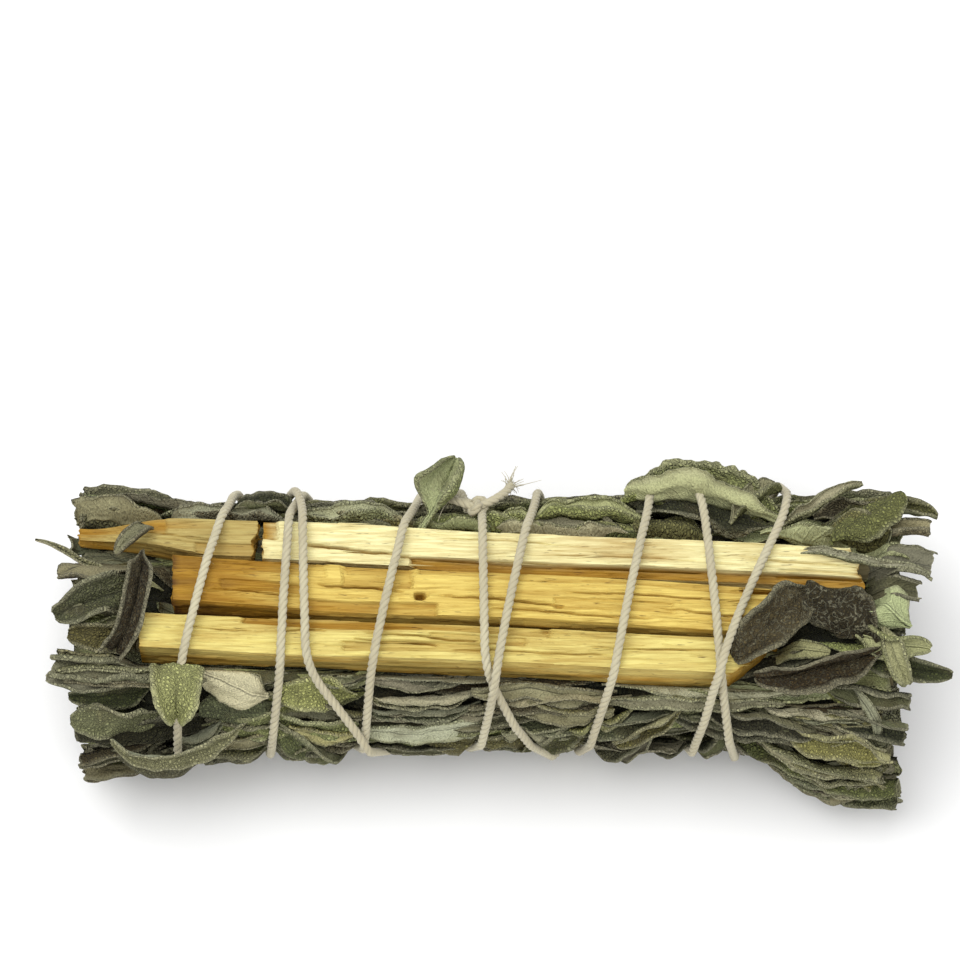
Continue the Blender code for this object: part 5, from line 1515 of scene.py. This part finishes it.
class SAGEBUNCH_OT_sprigs(bpy.types.Operator):
    """Grow the leaves of every sprig, with the pressed leaves inside them"""

    bl_idname = "sagebunch.sprigs"
    bl_label = "Grow Sprigs"

    def execute(self, context):
        settings = context.scene.sage_leaves
        finish = sage_finish(settings)
        colours = leaf_colours(settings)
        seen = seen_leaves()
        for number, (node, turns) in enumerate(SPRIG_TURNS.items()):
            draws = random.Random(DRAWN_SEED + number)
            pile = LeafPile(colours, settings.thickness)
            packed_core(pile, turns, number)
            for place, leaf in enumerate(seen):
                if turns[0] <= sum(leaf_ends(leaf)[0]) / 2 < turns[1]:
                    rows = max(12, min(60, round(math.dist(leaf.root, leaf.tip) * 2)))
                    columns = 2 * max(8, round(leaf.width * 1.2))
                    pile.add_leaf(leaf, SEEN_SEED + place, rows, columns)
            crowd = (turns[1] - turns[0]) / SPRIG_WIDTH * (UNPLACED_FILL if turns[1] > PLACED_TO else 1.0)
            seed = SPRIG_SEED_STEP * number
            for place, leaf in enumerate(fill_leaves(turns, draws, round(settings.fill * crowd))):
                pile.add_leaf(leaf, seed + place, *FILL_DETAIL)
            count = round(settings.end_fill * crowd)
            for place, leaf in enumerate(end_leaves(turns, draws, count, CUT_DEPTHS)):
                pile.add_leaf(leaf, seed + CUT_SEED + place, *CUT_DETAIL)
            finished(node + "_leaves", pile.mesh(node + "_leaves"), finish, node)
        draws = random.Random(HEART_DRAWN_SEED)
        pile = LeafPile(colours, settings.thickness)
        # The heart's pressed core, painted dark as the shade deep inside the bunch.
        packed_core(pile, (-182, 178), HEART_CORE_SEED, 0.4 * MM, HEART_RADIUS + 1 * MM)
        count = HEART_CUT_SHARE * settings.end_fill
        for place, leaf in enumerate(end_leaves((-180, 180), draws, count, HEART_CUT_DEPTHS)):
            pile.add_leaf(leaf, HEART_SEED + place, *CUT_DETAIL)
        finished(HEART + "_leaves", pile.mesh(HEART + "_leaves"), finish, HEART)
        return {"FINISHED"}


class SAGEBUNCH_OT_stems(bpy.types.Operator):
    """Set the cut stems of the sprigs into both chopped ends"""

    bl_idname = "sagebunch.stems"
    bl_label = "Cut Stems"

    def execute(self, context):
        settings = context.scene.sage_leaves
        finished("cut_stems", stem_mesh(settings, STEM_SEED), stem_finish(settings), None)
        return {"FINISHED"}


class SAGEBUNCH_OT_sticks(bpy.types.Operator):
    """Split the wood sticks, with their cracks, torn strips and splinters"""

    bl_idname = "sagebunch.sticks"
    bl_label = "Split Sticks"

    def execute(self, context):
        settings = context.scene.sage_sticks
        finish = wood_finish(settings)
        tree = splinter_nodes(finish)
        for stick in sticks():
            values = {
                "Density": settings.splinters,
                "Length": settings.splinter_length,
                "Thickness": settings.splinter_thickness,
                "Seed": stick.seed,
            }
            mesh = through_nodes(stick_mesh(stick), tree, stick.node + "_split", values)
            finished(stick.node + "_split", mesh, finish, stick.node)
        return {"FINISHED"}


class SAGEBUNCH_OT_twine(bpy.types.Operator):
    """Wind the twisted twine round the bunch, with its knot"""

    bl_idname = "sagebunch.twine"
    bl_label = "Wind Twine"

    def execute(self, context):
        settings = context.scene.sage_twine
        finish = twine_finish(settings)
        loop, tails = knot_paths()
        line = curve_of("twine_line", [wound_route(), loop, *tails])
        values = {
            "Plies": settings.plies,
            "Diameter": settings.diameter,
            "Lay": settings.lay,
            "Fuzz": settings.fuzz,
            "Fuzz Length": settings.fuzz_length,
            "Seed": TWINE_SEED,
        }
        mesh = through_nodes(line, twine_nodes(finish), "wound_twine", values)
        finished("wound_twine", mesh, finish, "twine")
        frayed = frayed_mesh(tails, settings.frayed, FRAY_SEED)
        finished("frayed_ends", frayed, finish, None)
        return {"FINISHED"}


class SAGEBUNCH_OT_stage(bpy.types.Operator):
    """Set the pale floor, the soft lights and the camera"""

    bl_idname = "sagebunch.stage"
    bl_label = "Set Stage"

    def execute(self, context):
        settings = context.scene.sage_stage
        reach = FLOOR_REACH
        mesh = bpy.data.meshes.new("floor")
        corners = [(-reach, -reach, 0), (reach, -reach, 0), (reach, reach, 0), (-reach, reach, 0)]
        mesh.from_pydata(corners, [], [(0, 1, 2, 3)])
        finish, graph, shader = new_finish("pale_floor", 0.9)
        place = graph.add("ShaderNodeTexCoord").outputs["Object"]
        cloud = graph.eased(graph.noise(place, 3.0), 0.3, 0.7, 0.0, 0.05)
        set_surface(graph, shader, graph.blend(cloud, (*settings.floor, 1), (0.8, 0.8, 0.8, 1)))
        mesh.materials.append(finish)
        new_object("floor", mesh)
        for name, at, size in LIGHTS:
            light = bpy.data.lights.new(name, "AREA")
            light.size = size
            light.energy = getattr(settings, name)
            lamp = new_object(name, light)
            lamp.location = at
            lamp.rotation_euler = (Vector(LIT_PLACE) - Vector(at)).to_track_quat("-Z", "Y").to_euler()
        world = bpy.data.worlds.new("studio")
        world.use_nodes = True
        world.node_tree.nodes["Background"].inputs["Color"].default_value = (1, 1, 1, 1)
        world.node_tree.nodes["Background"].inputs["Strength"].default_value = settings.sky
        context.scene.world = world
        context.scene.view_settings.view_transform = "Standard"
        eye = bpy.data.cameras.new("camera")
        eye.lens = settings.lens
        eye.sensor_width = SENSOR_WIDTH
        eye.clip_start, eye.clip_end = 0.05, 10
        back = Vector((0, -math.cos(EYE_RISE), math.sin(EYE_RISE)))
        upward = Vector((0, math.sin(EYE_RISE), math.cos(EYE_RISE)))
        aim = Vector(PICTURE_MIDDLE) + upward * PICTURE_RISE - Vector(MIDDLE)
        camera = new_object("camera", eye)
        camera.location = aim + back * (settings.lens * PICTURE_WIDTH / SENSOR_WIDTH + TOP_NEARER)
        camera.rotation_euler = (-back).to_track_quat("-Z", "Y").to_euler()
        context.scene.camera = camera
        return {"FINISHED"}


class SAGEBUNCH_PT_panel(bpy.types.Panel):
    """Lists the steps that dress the bunch, and their sizes and colours"""

    bl_idname = "SAGEBUNCH_PT_panel"
    bl_label = "Sage Bunch"
    bl_space_type = "VIEW_3D"
    bl_region_type = "UI"
    bl_category = "Sage Bunch"

    def draw(self, context):
        scene = context.scene
        for settings, steps in (
            (scene.sage_leaves, (SAGEBUNCH_OT_sprigs, SAGEBUNCH_OT_stems)),
            (scene.sage_sticks, (SAGEBUNCH_OT_sticks,)),
            (scene.sage_twine, (SAGEBUNCH_OT_twine,)),
            (scene.sage_stage, (SAGEBUNCH_OT_stage,)),
        ):
            box = self.layout.box()
            for step in steps:
                box.operator(step.bl_idname)
            for name in settings.__annotations__:
                box.prop(settings, name)


SETTINGS = {
    "sage_leaves": SageLeafSettings,
    "sage_sticks": SageStickSettings,
    "sage_twine": SageTwineSettings,
    "sage_stage": SageStageSettings,
}
OPERATORS = (
    SAGEBUNCH_OT_sprigs,
    SAGEBUNCH_OT_stems,
    SAGEBUNCH_OT_sticks,
    SAGEBUNCH_OT_twine,
    SAGEBUNCH_OT_stage,
)


def register():
    for made in (*SETTINGS.values(), *OPERATORS, SAGEBUNCH_PT_panel):
        bpy.utils.register_class(made)
    for name, group in SETTINGS.items():
        setattr(bpy.types.Scene, name, PointerProperty(type=group))


def unregister():
    for name in SETTINGS:
        delattr(bpy.types.Scene, name)
    for made in reversed((*SETTINGS.values(), *OPERATORS, SAGEBUNCH_PT_panel)):
        bpy.utils.unregister_class(made)


def main():
    register()
    bpy.ops.sagebunch.sprigs()
    bpy.ops.sagebunch.stems()
    bpy.ops.sagebunch.sticks()
    bpy.ops.sagebunch.twine()
    bpy.ops.sagebunch.stage()


if __name__ == "__main__":
    main()
